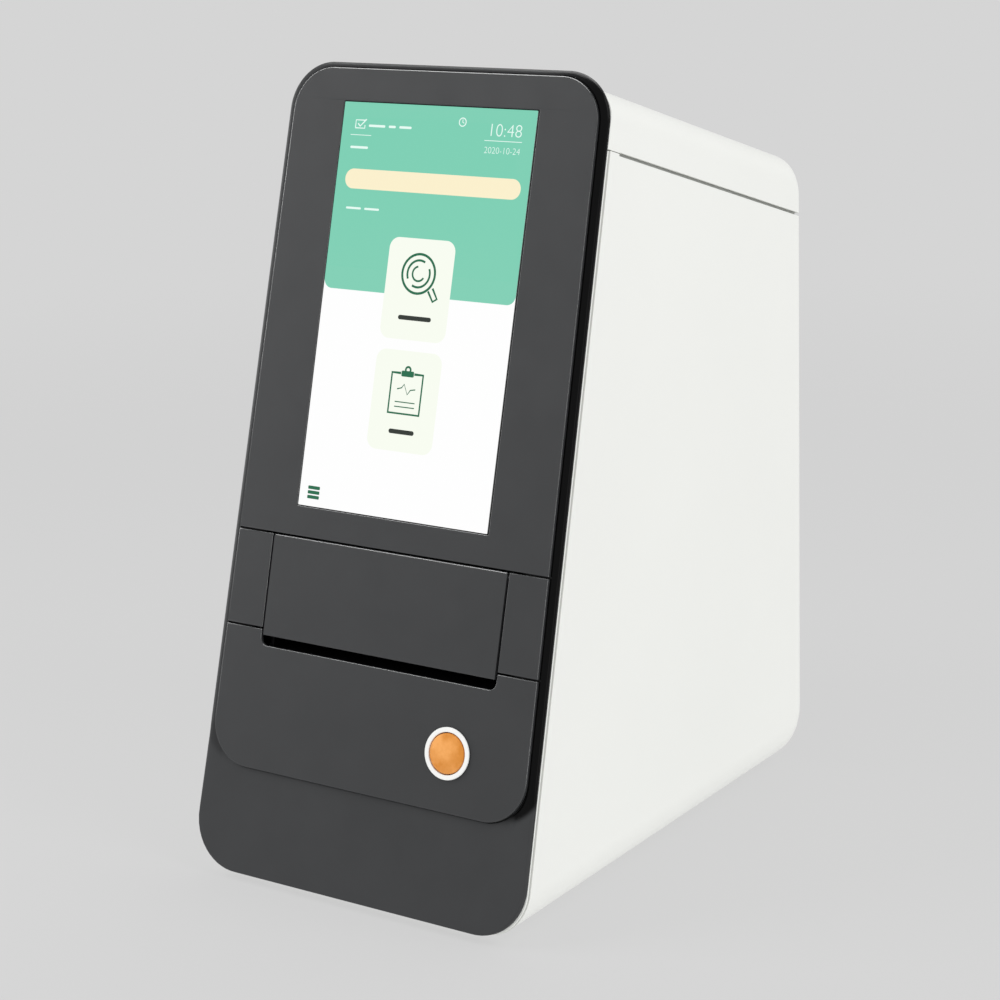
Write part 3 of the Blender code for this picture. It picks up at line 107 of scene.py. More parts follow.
def tint(material, pattern, dark, light, low=0.3, high=0.7):
    """Turns a pattern into a colour between dark and light, and puts it on the surface."""
    ramp = material.node_tree.nodes.new("ShaderNodeValToRGB")
    ramp.color_ramp.elements[0].position, ramp.color_ramp.elements[1].position = low, high
    ramp.color_ramp.elements[0].color = (*dark, 1)
    ramp.color_ramp.elements[1].color = (*light, 1)
    join_sockets(material, pattern, ramp.inputs["Fac"])
    join_sockets(material, ramp.outputs["Color"], shader_input(material, "Base Color"))
    return ramp.outputs["Color"]


def polish(material, pattern, low, high):
    """Lets the roughness wander between low and high with a pattern."""
    spread = node_of(material, "ShaderNodeMapRange", From_Min=0.3, From_Max=0.7, To_Min=low, To_Max=high)
    join_sockets(material, pattern, spread.inputs["Value"])
    join_sockets(material, spread.outputs["Result"], shader_input(material, "Roughness"))


def relief(material, pattern, depth, strength=1.0):
    """Raises the surface by up to depth with a pattern; further calls add to the first."""
    bump = node_of(material, "ShaderNodeBump", Distance=depth, Strength=strength)
    normal = shader_input(material, "Normal")
    if normal.is_linked:
        join_sockets(material, normal.links[0].from_socket, bump.inputs["Normal"])
    join_sockets(material, pattern, bump.inputs["Height"])
    join_sockets(material, bump.outputs["Normal"], normal)


def mellowed(colour, factor):
    return tuple(channel * factor for channel in colour)


def turned(profile, steps=72, place=None):
    """A round form: the profile (radius, height) turned about Z, closed on the axis or as a ring."""
    work = bmesh.new()
    angles = [2 * pi * step / steps for step in range(steps)]
    rows = []
    for radius, height in profile:
        spots = [(0, 0, height)] if radius == 0 else [(radius * cos(a), radius * sin(a), height) for a in angles]
        rows.append([work.verts.new(spot) for spot in spots])
    following = rows[1:] if profile[0][0] == 0 else rows[1:] + rows[:1]
    for row, onward in zip(rows, following):
        for index in range(steps):
            after = index + 1
            ring = [row[index % len(row)], row[after % len(row)], onward[after % len(onward)], onward[index % len(onward)]]
            corners = list(dict.fromkeys(ring))
            if len(corners) > 2:
                work.faces.new(corners)
    return closed_mesh(work, place)


def closed_mesh(work, place=None):
    """Turns a bmesh into a mesh with all its faces out, moved to its place."""
    bmesh.ops.recalc_face_normals(work, faces=work.faces)
    mesh = bpy.data.meshes.new("form")
    work.to_mesh(mesh)
    work.free()
    if place is not None:
        mesh.transform(place)
    return mesh


def piece_of(name, mesh, material, edge=0.0, steps=2, crease=28):
    """A piece from its mesh: smooth where it curves, with its sharp edges eased by edge."""
    mesh.materials.clear()
    mesh.materials.append(material)
    mesh.name = name
    mesh.shade_smooth()
    mesh.set_sharp_from_angle(angle=radians(crease))
    made = bpy.data.objects.new(name, mesh)
    bpy.context.scene.collection.objects.link(made)
    if edge:
        eased = made.modifiers.new("eased_edges", "BEVEL")
        eased.width = edge
        eased.segments = steps
        eased.limit_method = "ANGLE"
        eased.angle_limit = radians(crease)
        eased.miter_outer = "MITER_ARC"
        eased.use_clamp_overlap = True
    flat = made.modifiers.new("flat_faces", "WEIGHTED_NORMAL")
    flat.keep_sharp = True
    return made


def seat(piece, body, slot, *nodes):
    """The piece rides on its body and stands for the nodes, which it hides; the slot is not used."""
    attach(piece, body)
    if nodes:
        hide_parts(*nodes)
    return piece


rubber = finish("foot_rubber", (0.03, 0.03, 0.03), 0.8, specular=0.3)
tint(rubber, cloud(rubber, 300, 6), (0.018, 0.018, 0.018), (0.05, 0.049, 0.047))
polish(rubber, cloud(rubber, 900), 0.68, 0.9)
relief(rubber, cloud(rubber, 5000), 0.00008)

for number in (1, 2, 3, 4):
    node = f"rubber_foot_{number}"
    low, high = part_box(node)
    centre, radius = (low + high) / 2, (high.x - low.x) / 2
    top = high.z
    outline = [
        (0, foot_cup),
        (radius * foot_cup_share, foot_cup),
        (radius * foot_cup_share + foot_cup, 0),
        (radius - foot_rim, 0),
        (radius, foot_rim),
        (radius - foot_rim / 3, top),
        (0, top),
    ]
    foot = piece_of(f"foot_{number}", turned(outline, 64, Matrix.Translation((centre.x, centre.y, 0))), rubber, 0.0002)
    seat(foot, "case", "rubber", node)

# Base plate and chassis
# The base plate is 1.5 mm zinc-plated sheet on the floor of the case. The chassis is the same sheet
# folded to a table with feet, screwed down through them; it carries the mechanism and the motor.

sheet_edge = 0.0002
chassis_screw_radius = 0.0028
chassis_screw_height = 0.0016
chassis_screw_setback = 0.014


def folded_form(node):
    """A CAD node's own shape, welded, with its coplanar facets joined to whole faces."""
    work = bmesh.new()
    work.from_mesh(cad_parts[node].data)
    bmesh.ops.remove_doubles(work, verts=work.verts, dist=0.000002)
    bmesh.ops.dissolve_limit(work, angle_limit=radians(0.4), verts=work.verts, edges=work.edges)
    return closed_mesh(work)


def screw_head(radius, height, place, socket=0.45):
    """A low round screw head with a hexagonal socket."""
    rise = [(radius, 0), (radius, height * 0.45), (radius * 0.86, height * 0.8), (radius * 0.62, height)]
    head = turned([(0, 0), *rise, (0, height)], 32)
    key = [(radius * socket * cos(pi / 3 * k), radius * socket * sin(pi / 3 * k), 0) for k in range(6)]
    drilled = shaped(head, "DIFFERENCE", prism([key], height * 0.35, height * 2))
    drilled.transform(place)
    return drilled


def stand_in(mesh):
    """A bare object that holds a mesh while it is worked on."""
    holder = bpy.data.objects.new("work", mesh)
    bpy.context.scene.collection.objects.link(holder)
    return holder


def shaped(mesh, operation, *tools):
    """A closed mesh cut by others, or joined to them."""
    holders = [stand_in(mesh)]
    for tool in tools:
        holders.append(stand_in(tool))
        change = holders[0].modifiers.new("change", "BOOLEAN")
        change.operation = operation
        change.object = holders[-1]
        change.solver = "EXACT"
    bpy.context.view_layer.update()
    graph = bpy.context.evaluated_depsgraph_get()
    made = bpy.data.meshes.new_from_object(holders[0].evaluated_get(graph))
    for holder in holders:
        bpy.data.objects.remove(holder)
    return made


def prism(outlines, low, high, edge_round=0.0, arc_steps=12, place=None):
    """Flat outlines of corners (x, y, radius), thickened from low to high along their own Z."""
    curve = bpy.data.curves.new("outline", "CURVE")
    curve.dimensions = "2D"
    curve.fill_mode = "BOTH"
    curve.resolution_u = arc_steps
    curve.extrude = (high - low) / 2 - edge_round
    curve.bevel_depth = edge_round
    curve.bevel_resolution = 2
    curve.offset = -edge_round
    for corners in outlines:
        add_spline(curve, corners)
    holder = bpy.data.objects.new("outline", curve)
    bpy.context.scene.collection.objects.link(holder)
    bpy.context.view_layer.update()
    mesh = bpy.data.meshes.new_from_object(holder.evaluated_get(bpy.context.evaluated_depsgraph_get()))
    bpy.data.objects.remove(holder)
    work = bmesh.new()
    work.from_mesh(mesh)
    bmesh.ops.remove_doubles(work, verts=work.verts, dist=0.000002)
    bmesh.ops.translate(work, verts=work.verts, vec=(0, 0, (high + low) / 2))
    return closed_mesh(work, place)


def add_spline(curve, corners):
    """Adds one closed outline; each corner (x, y, radius) is rounded by its radius."""
    knots = []
    for index, (x, y, radius) in enumerate(corners):
        here = Vector((x, y, 0))
        before = Vector((*corners[index - 1][:2], 0))
        after = Vector((*corners[(index + 1) % len(corners)][:2], 0))
        if radius == 0:
            knots.append((here, None, None))
            continue
        back, on = (before - here).normalized(), (after - here).normalized()
        turn = back.angle(on)
        reach = radius / tan(turn / 2)
        pull = 4 / 3 * tan((pi - turn) / 4) * radius
        start, end = here + back * reach, here + on * reach
        knots.append((start, None, start - back * pull))
        knots.append((end, end - on * pull, None))
    spline = curve.splines.new("BEZIER")
    spline.bezier_points.add(len(knots) - 1)
    for index, (knot, (place, left, right)) in enumerate(zip(spline.bezier_points, knots)):
        before, after = knots[index - 1][0], knots[(index + 1) % len(knots)][0]
        knot.co = place
        knot.handle_left_type = "VECTOR" if left is None else "FREE"
        knot.handle_right_type = "VECTOR" if right is None else "FREE"
        knot.handle_left = place.lerp(before, 1 / 3) if left is None else left
        knot.handle_right = place.lerp(after, 1 / 3) if right is None else right
    spline.use_cyclic_u = True


def rectangle(x_low, x_high, y_low, y_high, radius=0.0):
    return [(x_low, y_low, radius), (x_high, y_low, radius), (x_high, y_high, radius), (x_low, y_high, radius)]


def circle(x, y, radius, steps=48):
    angles = [2 * pi * step / steps for step in range(steps)]
    return [(x + radius * cos(a), y + radius * sin(a), 0) for a in angles]


def block(low, high, place=None):
    """A box between two opposite corners, to be cut, joined or eased."""
    return prism([rectangle(low[0], high[0], low[1], high[1])], low[2], high[2], place=place)


zinc = finish("zinc_sheet", (0.55, 0.56, 0.57), 0.36, metallic=1.0)
tint(zinc, cloud(zinc, 140, 3), (0.48, 0.49, 0.5), (0.64, 0.65, 0.66))
polish(zinc, cloud(zinc, 60, 4, (1, 14, 1)), 0.28, 0.46)
relief(zinc, cloud(zinc, 900, 2, (1, 12, 1)), 0.00002)

steel = finish("ground_steel", (0.66, 0.66, 0.67), 0.2, metallic=1.0)
tint(steel, cloud(steel, 500, 3), (0.58, 0.58, 0.59), (0.72, 0.72, 0.73))
polish(steel, cloud(steel, 2500, 2, (1, 0.05, 1)), 0.14, 0.27)
relief(steel, cloud(steel, 9000, 1, (1, 0.04, 1)), 0.000004)

seat(piece_of("floor_plate", folded_form("base_plate"), zinc, sheet_edge), "case", "sheet_steel", "base_plate")
seat(piece_of("chassis", folded_form("mechanism_chassis"), zinc, sheet_edge), "case", "sheet_steel", "mechanism_chassis")
chassis_low, chassis_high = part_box("mechanism_chassis")
for side in (-1, 1):
    for y in (chassis_low.y + chassis_screw_setback, chassis_high.y - chassis_screw_setback):
        x = side * (chassis_high.x - chassis_screw_radius * 2.2)
        spot = Matrix.Translation((x, y, chassis_low.z + 0.0015))
        name = f"chassis_screw_{'left' if side < 0 else 'right'}_{'front' if y < 0 else 'back'}"
        head = piece_of(name, screw_head(chassis_screw_radius, chassis_screw_height, spot), steel, 0.0001)
        seat(head, "case", "bright_steel")

# Guide rods and their brackets
# Two ground steel rods in moulded end brackets on the chassis's deck. The brackets are a glass-filled
# grey plastic, clamped down by their feet.

moulding_edge = 0.0004

grey = finish("grey_moulding", (0.3, 0.31, 0.32), 0.5)
tint(grey, cloud(grey, 120, 5), (0.27, 0.28, 0.29), (0.33, 0.34, 0.35))
polish(grey, cloud(grey, 700), 0.42, 0.58)
relief(grey, cloud(grey, 4200, 3), 0.00003)

for end in ("front", "rear"):
    node = f"rod_bracket_{end}"
    seat(piece_of(f"rod_holder_{end}", folded_form(node), grey, moulding_edge), "case", "grey_plastic", node)
for side in ("left", "right"):
    node = f"guide_rod_{side}"
    low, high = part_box(node)
    radius, length = (high.x - low.x) / 2, high.y - low.y
    chamfer = radius * 0.25
    profile = [(0, 0), (radius - chamfer, 0), (radius, chamfer), (radius, length - chamfer), (radius - chamfer, length), (0, length)]
    lie = Matrix.Translation(((low.x + high.x) / 2, high.y, (low.z + high.z) / 2)) @ Matrix.Rotation(pi / 2, 4, "X")
    seat(piece_of(f"rod_{side}", turned(profile, 48, lie), steel, 0.0001), "case", "bright_steel", node)

# Card carriage
# The tray that takes the test card, one grey moulding with the block that runs on the rods. It has a
# pocket for the card and a thumb notch at its front edge.

seat(piece_of("card_tray", folded_form("card_carriage"), grey, moulding_edge), "carriage", "grey_plastic", "card_carriage")

# Rack, pinion and motor
# Rack and pinion are cut from waxy off-white acetal; the rack is screwed to the tray's side. The
# stepper motor hangs under the deck: a stack of steel laminations between two cast end caps.

acetal = finish("acetal", (0.76, 0.76, 0.72), 0.35)
tint(acetal, cloud(acetal, 200, 4), (0.72, 0.72, 0.67), (0.79, 0.79, 0.76))
polish(acetal, cloud(acetal, 1500), 0.28, 0.42)
relief(acetal, cloud(acetal, 6000), 0.00001)
shader_input(acetal, "Subsurface Weight").default_value = 0.12
shader_input(acetal, "Subsurface Radius").default_value = (0.002, 0.0018, 0.0015)

seat(piece_of("toothed_rack", folded_form("drive_rack"), acetal, 0.0001), "carriage", "acetal", "drive_rack")
seat(piece_of("pinion", folded_form("drive_pinion"), acetal, 0.0001, 2, 35), "pinion", "acetal", "drive_pinion")

motor_black = finish("motor_enamel", (0.025, 0.025, 0.027), 0.45)
tint(motor_black, cloud(motor_black, 250, 4), (0.018, 0.018, 0.02), (0.036, 0.036, 0.038))
polish(motor_black, cloud(motor_black, 900), 0.36, 0.56)
relief(motor_black, cloud(motor_black, 2600, 3), 0.00005)
laminated = finish("laminations", (0.35, 0.35, 0.36), 0.4, metallic=1.0)
layers = node_of(laminated, "ShaderNodeTexWave", Scale=1.0, Distortion=0.0)
layers.bands_direction = "Z"
spot = laminated.node_tree.nodes.new("ShaderNodeTexCoord")
sized = node_of(laminated, "ShaderNodeMapping", Scale=(0, 0, 320))
join_sockets(laminated, spot.outputs["Object"], sized.inputs["Vector"])
join_sockets(laminated, sized.outputs["Vector"], layers.inputs["Vector"])
tint(laminated, layers.outputs["Fac"], (0.2, 0.2, 0.21), (0.42, 0.42, 0.43))
relief(laminated, layers.outputs["Fac"], 0.00004)
polish(laminated, cloud(laminated, 600), 0.3, 0.5)

seat(piece_of("motor", folded_form("stepper_motor"), motor_black, 0.0004), "case", "motor_steel", "stepper_motor")
motor_low, motor_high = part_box("stepper_motor")
stack_inset = 0.00045
stack = rectangle(
    motor_low.x + stack_inset, motor_high.x - stack_inset, motor_low.y + stack_inset, motor_high.y - stack_inset, 0.004
)
stack_low, stack_high = motor_low.z + 0.0072, motor_high.z - 0.0072
seat(piece_of("motor_stack", prism([stack], stack_low, stack_high), laminated, 0.0001), "case", "motor_steel")

# Optics
# A folded sheet gantry bridges the carriage. Under it hangs the black reading head with its coated
# objective, and on it lies the detector board with its shielding can.

black = finish("black_moulding", (0.012, 0.012, 0.013), 0.42)
tint(black, cloud(black, 160, 5), (0.009, 0.009, 0.01), (0.018, 0.018, 0.019))
polish(black, cloud(black, 800), 0.34, 0.5)
relief(black, cloud(black, 3800, 2), 0.00004)

glass = finish("coated_lens", (0.32, 0.42, 0.6), 0.04, coat=1.0)
rings = cloud(glass, 90, 1)
tint(glass, rings, (0.08, 0.12, 0.26), (0.3, 0.2, 0.42))

board_mask = finish("solder_mask", (0.015, 0.13, 0.06), 0.34, coat=0.35)
bricks = node_of(board_mask, "ShaderNodeTexBrick", Scale=1.0, Mortar_Size=0.06, Brick_Width=2.6, Row_Height=0.5)
spot = board_mask.node_tree.nodes.new("ShaderNodeTexCoord")
sized = node_of(board_mask, "ShaderNodeMapping", Scale=(700, 700, 700))
join_sockets(board_mask, spot.outputs["Object"], sized.inputs["Vector"])
join_sockets(board_mask, sized.outputs["Vector"], bricks.inputs["Vector"])
tint(board_mask, bricks.outputs["Fac"], (0.012, 0.105, 0.048), (0.03, 0.19, 0.09), 0.2, 0.8)
relief(board_mask, bricks.outputs["Fac"], 0.00002)
polish(board_mask, cloud(board_mask, 500), 0.26, 0.42)

seat(piece_of("gantry", folded_form("optics_gantry"), zinc, sheet_edge), "case", "sheet_steel", "optics_gantry")
seat(piece_of("reading_head", folded_form("optics_head"), black, 0.0003), "case", "black_plastic", "optics_head")
seat(piece_of("objective", folded_form("objective_lens"), glass, 0.0001), "case", "lens_glass", "objective_lens")
seat(piece_of("detector", folded_form("detector_board"), board_mask, 0.0001), "case", "circuit_board", "detector_board")

# Power supply
# An open supply on the base plate: green board with a wound coil, two capacitors and a heat sink.

seat(piece_of("supply", folded_form("power_supply"), board_mask, 0.0002), "case", "circuit_board", "power_supply")

# Cooling fan
# A 40 mm axial fan behind the rear grille, frame and rotor moulded in black glass-filled plastic.

seat(piece_of("fan_housing", folded_form("fan_frame"), black, 0.0002), "case", "black_plastic", "fan_frame")
seat(piece_of("fan_wheel", folded_form("fan_rotor"), black, 0.0001), "fan", "black_plastic", "fan_rotor")

# Case form
# Values and functions for the moulded white case, which the lower shell, the cover and the neck of
# the front frame share: a lofted form with rounded long edges and a front that leans back.

lean_angle = radians(14.5)
top_slope_angle = radians(15.6)
side_draft_angle = radians(1.0)
half_base = 0.076
front_foot_y = -0.11417863
rear_y = 0.11132137
base_z = 0.0025
front_height = 0.3135
case_top = 0.3082
seam_line = 0.2862
base_edge_radius = 0.018
top_edge_radius = 0.011
rear_corner_radius = 0.009
rear_edge_radius = 0.003
wall = 0.0025
fit = 0.0003
far = 0.5
loft_steps = 18
case_edge = 0.00022


def half_width_up(up):
    """Half the case's width at a point up the leaning front; it narrows with the side draft."""
    return half_base - tan(side_draft_angle) * up * cos(lean_angle)


def front_point(up, out):
    """The (y, z) of a point on the leaning front, up its slope and out from its plane."""
    y = front_foot_y + up * sin(lean_angle) - out * cos(lean_angle)
    return Vector((y, base_z + up * cos(lean_angle) + out * sin(lean_angle)))


def crossing(point_a, along_a, point_b, along_b):
    """Where two lines of the side outline cross."""
    determinant = along_a.x * -along_b.y + along_b.x * along_a.y
    step = point_b - point_a
    return point_a + along_a * ((step.x * -along_b.y + along_b.x * step.y) / determinant)


def fillet_points(before, corner, after, radius, steps):
    """The points of an arc that rounds one corner."""
    back, on = (before - corner).normalized(), (after - corner).normalized()
    turn = back.angle(on)
    centre = corner + (back + on).normalized() * (radius / sin(turn / 2))
    start = corner + back * (radius / tan(turn / 2)) - centre
    end = corner + on * (radius / tan(turn / 2)) - centre
    first = atan2(start.y, start.x)
    sweep = (atan2(end.y, end.x) - first + pi) % (2 * pi) - pi
    angles = [first + sweep * step / steps for step in range(steps + 1)]
    return [centre + Vector((cos(a), sin(a))) * radius for a in angles]


front_along = Vector((sin(lean_angle), cos(lean_angle)))
top_along = Vector((cos(top_slope_angle), -sin(top_slope_angle)))
top_down = Vector((-sin(top_slope_angle), -cos(top_slope_angle)))
across_x = Matrix.Rotation(pi / 2, 4, "Z") @ Matrix.Rotation(pi / 2, 4, "X")
on_front = Matrix.Translation((0, front_foot_y, base_z)) @ Matrix.Rotation(pi / 2 - lean_angle, 4, "X")
from_behind = Matrix.Translation((0, rear_y, 0)) @ Matrix.Rotation(pi, 4, "Z") @ Matrix.Rotation(pi / 2, 4, "X")


def rounding_drop(radius, distance):
    """How far a rounded edge has fallen at a distance in from the side."""
    return 0.0 if distance >= radius else radius - sqrt(radius**2 - (radius - distance) ** 2)


def case_section(inset, front_out, distance):
    """The side outline of the case at one distance in from its flat side."""
    base_drop = inset + rounding_drop(base_edge_radius - inset, distance)
    top_drop = inset + rounding_drop(top_edge_radius - inset, distance)
    rear_drop = inset + rounding_drop(max(rear_edge_radius - inset, fit), distance)
    corner = rear_corner_radius - inset
    front_start = front_point(0, front_out)
    base_start = Vector((front_foot_y, base_z + base_drop))
    rear_start = Vector((rear_y - rear_drop, base_z))
    top_start = front_point(case_top, 0) + top_down * top_drop
    level, upright = Vector((1, 0)), Vector((0, 1))
    front_foot = crossing(front_start, front_along, base_start, level)
    rear_foot = crossing(base_start, level, rear_start, upright)
    rear_head = crossing(rear_start, upright, top_start, top_along)
    front_head = crossing(top_start, top_along, front_start, front_along)
    lower_arc = fillet_points(front_foot, rear_foot, rear_head, corner, loft_steps)
    upper_arc = fillet_points(rear_foot, rear_head, front_head, corner, loft_steps)
    return [front_foot, *lower_arc, *upper_arc, front_head]


def case_form(inset, front_out):
    """The whole case as one solid, lofted from side to side, its walls moved in by inset."""
    angles = [pi / 2 * step / loft_steps for step in range(loft_steps + 1)]
    distances = [(base_edge_radius - inset) * (1 - cos(a)) for a in angles]
    distances += [(top_edge_radius - inset) * (1 - cos(a)) for a in angles[3::3]]
    distances += [max(rear_edge_radius - inset, fit) * (1 - cos(a)) for a in angles[4::5]]
    distances = sorted(set(round(d, 6) for d in distances))
    stations = [(1, distance) for distance in distances] + [(-1, distance) for distance in reversed(distances)]
    work = bmesh.new()
    rings = []
    for side, distance in stations:
        section = case_section(inset, front_out, distance)
        widths = [half_base - tan(side_draft_angle) * (p.y - base_z) - inset - distance for p in section]
        rings.append([work.verts.new((side * width, p.x, p.y)) for width, p in zip(widths, section)])
    for ring, following in zip(rings, rings[1:]):
        for index in range(len(ring)):
            onward = (index + 1) % len(ring)
            work.faces.new((ring[index], ring[onward], following[onward], following[index]))
    work.faces.new(rings[0])
    work.faces.new(rings[-1])
    return closed_mesh(work)


def seam_side(rise, above, step_rise=None):
    """All that lies above or below the cover's seam, raised by rise, with a step behind the front."""
    seam_start = front_point(seam_line, 0)
    lift = Vector((sin(top_slope_angle), cos(top_slope_angle)))
    near = seam_start - top_along * (seam_line * sin(lean_angle) + 0.004)
    points = [near + lift * rise]
    if step_rise is not None:
        bend = seam_start + top_along * 0.009
        points += [bend + lift * rise, bend + lift * step_rise]
        rise = step_rise
    points.append(seam_start + top_along * far + lift * rise)
    ends = far if above else -far
    outline = [(p.x, p.y, 0) for p in points]
    outline += [(points[-1].x, points[-1].y + ends, 0), (points[0].x, points[0].y + ends, 0)]
    return prism([outline], -far, far, place=across_x)


# Lower case shell
# One white moulding: sides, floor and rear wall, 2.5 mm thick, with a tongue along its top edge that
# the cover slips over and a rear window with four ears for the panel's screws.

lip_thickness = 0.0017
groove_width = 0.0008
tongue_height, tongue_inset = 0.003, 0.0018
seam_dip, seam_lift = 0.0008, 0.0005
panel_half_width = 0.050
panel_low, panel_high = 0.026, 0.196
panel_corner = 0.006
ear_overlap, ear_width, ear_depth = 0.003, 0.013, 0.006
screw_margin = 0.0055
white_colour, gap_shade_colour = shade(242, 243, 239), shade(175, 176, 172)


def white_finish(name, colour):
    """White moulded plastic with a fine spark-eroded texture."""
    made = finish(name, colour, 0.4, specular=0.4)
    tint(made, cloud(made, 9, 3), mellowed(colour, 0.985), colour, 0.35, 0.65)
    polish(made, cloud(made, 60, 6), 0.36, 0.46)
    relief(made, cloud(made, 4200, 2), 0.000025)
    relief(made, cloud(made, 1300, 3), 0.000012)
    return made


white = white_finish("white_moulding", white_colour)
# Painted shade: a darker white for the faces seen only inside the cover's seam and the frame's groove, where shade
# falls.
shaded_gap_white = white_finish("white_painted_shade_in_gaps", gap_shade_colour)

behind_lip = -(lip_thickness + groove_width)
tongue = shaped(case_form(tongue_inset, behind_lip - fit), "DIFFERENCE", seam_side(tongue_height, True))
shell = shaped(case_form(0, behind_lip), "DIFFERENCE", seam_side(0, True, -seam_dip))
tongue = shaped(tongue, "DIFFERENCE", case_form(wall, 0.004), seam_side(-tongue_height, False))
# The tongue, seen only down the seam, carries that painted shade.
seat(piece_of("shell_tongue", tongue, shaded_gap_white, case_edge, 2, 40), "case", "white_plastic")
window = prism([rectangle(-panel_half_width, panel_half_width, panel_low, panel_high, panel_corner)], -0.01, 0.01, place=from_behind)
shell = shaped(shell, "DIFFERENCE", case_form(wall, 0.004), window)
ears = []
for x_sign in (-1, 1):
    for up in (panel_low + screw_margin, panel_high - screw_margin):
        outer = panel_half_width + ear_overlap
        ends = sorted((x_sign * outer, x_sign * (outer - ear_width)))
        edge = sorted((x_sign * outer, x_sign * panel_half_width))
        rows = (up - screw_margin, up + screw_margin)
        back, front = -wall - fit - ear_depth, -wall - fit
        ears.append(block((ends[0], rows[0], back), (ends[1], rows[1], front), from_behind))
        ears.append(block((edge[0], rows[0], back), (edge[1], rows[1], -wall / 2), from_behind))
shell = shaped(shell, "UNION", *ears)
seat(piece_of("lower_case", shell, white, case_edge, 2, 40), "case", "white_plastic", "main_housing")

# Rear panel and its screws
# A white panel flush in the rear window, with slots that let the air out, the fan's grille and the
# holes for the connectors, held by four socket screws.

vent_rows, vent_width, vent_height, vent_pitch = 9, 0.052, 0.0022, 0.0046
fan_up, vent_low = 0.108, 0.137
fan_bore, ring_slot = 0.0185, 0.0028
port_row = 0.046
inlet_x, inlet_radius = 0.036, 0.0055
switch_x, rocker_width, rocker_height = 0.014, 0.013, 0.019
usb_x, usb_width, usb_height = -0.010, 0.0145, 0.0070
lan_x, lan_width, lan_height = -0.034, 0.0160, 0.0135


def grille_slots():
    """Curved slots in front of the fan: three rings, each split by four ribs."""
    slots = []
    for share in (0.42, 0.68, 0.94):
        outer = fan_bore * share
        inner = outer - ring_slot
        rib = ring_slot / 2 / outer
        for quarter in range(4):
            start, sweep = pi / 2 * quarter + rib, pi / 2 - 2 * rib
            angles = [start + sweep * part / 24 for part in range(25)]
            ring = [(outer, a) for a in angles] + [(inner, a) for a in reversed(angles)]
            slots.append([(r * cos(a), fan_up + r * sin(a), 0) for r, a in ring])
    return slots


side, rise = panel_half_width - fit, (panel_low + fit, panel_high - fit)
panel = [rectangle(-side, side, *rise, panel_corner)]
for row in range(vent_rows):
    low = vent_low + row * vent_pitch
    panel.append(rectangle(-vent_width / 2, vent_width / 2, low, low + vent_height, vent_height * 0.45))
panel += grille_slots()
screw_spots = [
    (x_sign * (panel_half_width - screw_margin), up)
    for x_sign in (-1, 1)
    for up in (panel_low + screw_margin, panel_high - screw_margin)
]
panel += [circle(x, up, 0.0017, 24) for x, up in screw_spots]
panel.append(circle(inlet_x, port_row, inlet_radius + fit))
for x, width, height in (
    (switch_x, rocker_width, rocker_height),
    (usb_x, usb_width, usb_height),
    (lan_x, lan_width, lan_height),
):
    half, tall = width / 2 + fit, height / 2 + fit
    panel.append(rectangle(x - half, x + half, port_row - tall, port_row + tall, 0.0003))
plate = prism(panel, -wall, 0, 0.00015, 8, from_behind)
seat(piece_of("back_panel", plate, white), "case", "white_plastic", "rear_panel")

for index, (x, up) in enumerate(screw_spots):
    number = index + 1
    place = from_behind @ Matrix.Translation((x, up, fit))
    head = screw_head(0.003, 0.0014, place)
    shank = turned([(0, 0.0002), (0.0014, 0.0002), (0.0014, -0.0063), (0.0008, -0.0065), (0, -0.0065)], 24, place)
    screw = piece_of(f"panel_screw_{number}", shaped(head, "UNION", shank), steel, 0.00008)
    seat(screw, "case", "bright_steel", f"rear_screw_{number}")

# Rear connectors
# Power inlet for a round plug, rocker switch, a data socket and a network socket, all standard parts
# that snap into the panel: black mouldings and plated shells with their contacts.

shell_metal = finish("plated_shell", (0.66, 0.66, 0.66), 0.3, metallic=1.0)
tint(shell_metal, cloud(shell_metal, 300, 4), (0.58, 0.58, 0.58), (0.72, 0.72, 0.72))
polish(shell_metal, cloud(shell_metal, 1200, 3, (1, 1, 6)), 0.22, 0.4)
relief(shell_metal, cloud(shell_metal, 3000), 0.000008)

seat(piece_of("inlet", folded_form("power_inlet"), black, 0.00015), "case", "black_plastic", "power_inlet")
seat(piece_of("switch_bezel", folded_form("switch_frame"), black, 0.0002), "case", "black_plastic", "switch_frame")
seat(piece_of("rocker", folded_form("power_rocker"), black, 0.0003), "rocker", "black_plastic", "power_rocker")
seat(piece_of("data_socket", folded_form("usb_port"), shell_metal, 0.0001), "case", "connector_shell", "usb_port")
seat(piece_of("network_socket", folded_form("network_port"), shell_metal, 0.0001), "case", "connector_shell", "network_port")

# Card bay liner
# A thin black moulding behind the door, open to the front and to the carriage. A cheek on either side
# closes the opening of the front beside it.

bay_half_width, bay_floor, bay_head = 0.0595, 0.0866, 0.13315
cheek_thickness, cheek_depth = 0.0006, 0.010
bay_black = finish("bay_black", (0.004, 0.004, 0.0045), 0.6, specular=0.12)
polish(bay_black, cloud(bay_black, 800), 0.5, 0.68)
relief(bay_black, cloud(bay_black, 3800, 2), 0.00004)

seat(piece_of("bay_lining", folded_form("bay_liner"), bay_black, 0.0003), "case", "black_plastic", "bay_liner")
for x_sign, side in ((-1, "left"), (1, "right")):
    edges = sorted((x_sign * (bay_half_width - cheek_thickness), x_sign * (bay_half_width - 0.00005)))
    cheek = block((edges[0], bay_floor + 0.0001, -cheek_depth), (edges[1], bay_head - 0.0001, 0.0008), on_front)
    seat(piece_of(f"bay_cheek_{side}", cheek, bay_black, 0.0001), "case", "black_plastic")

# Front frame
# White frame between the dark front and the case: a thin lip that shows as a light line, a groove
# behind it, and a neck that plugs into the case.

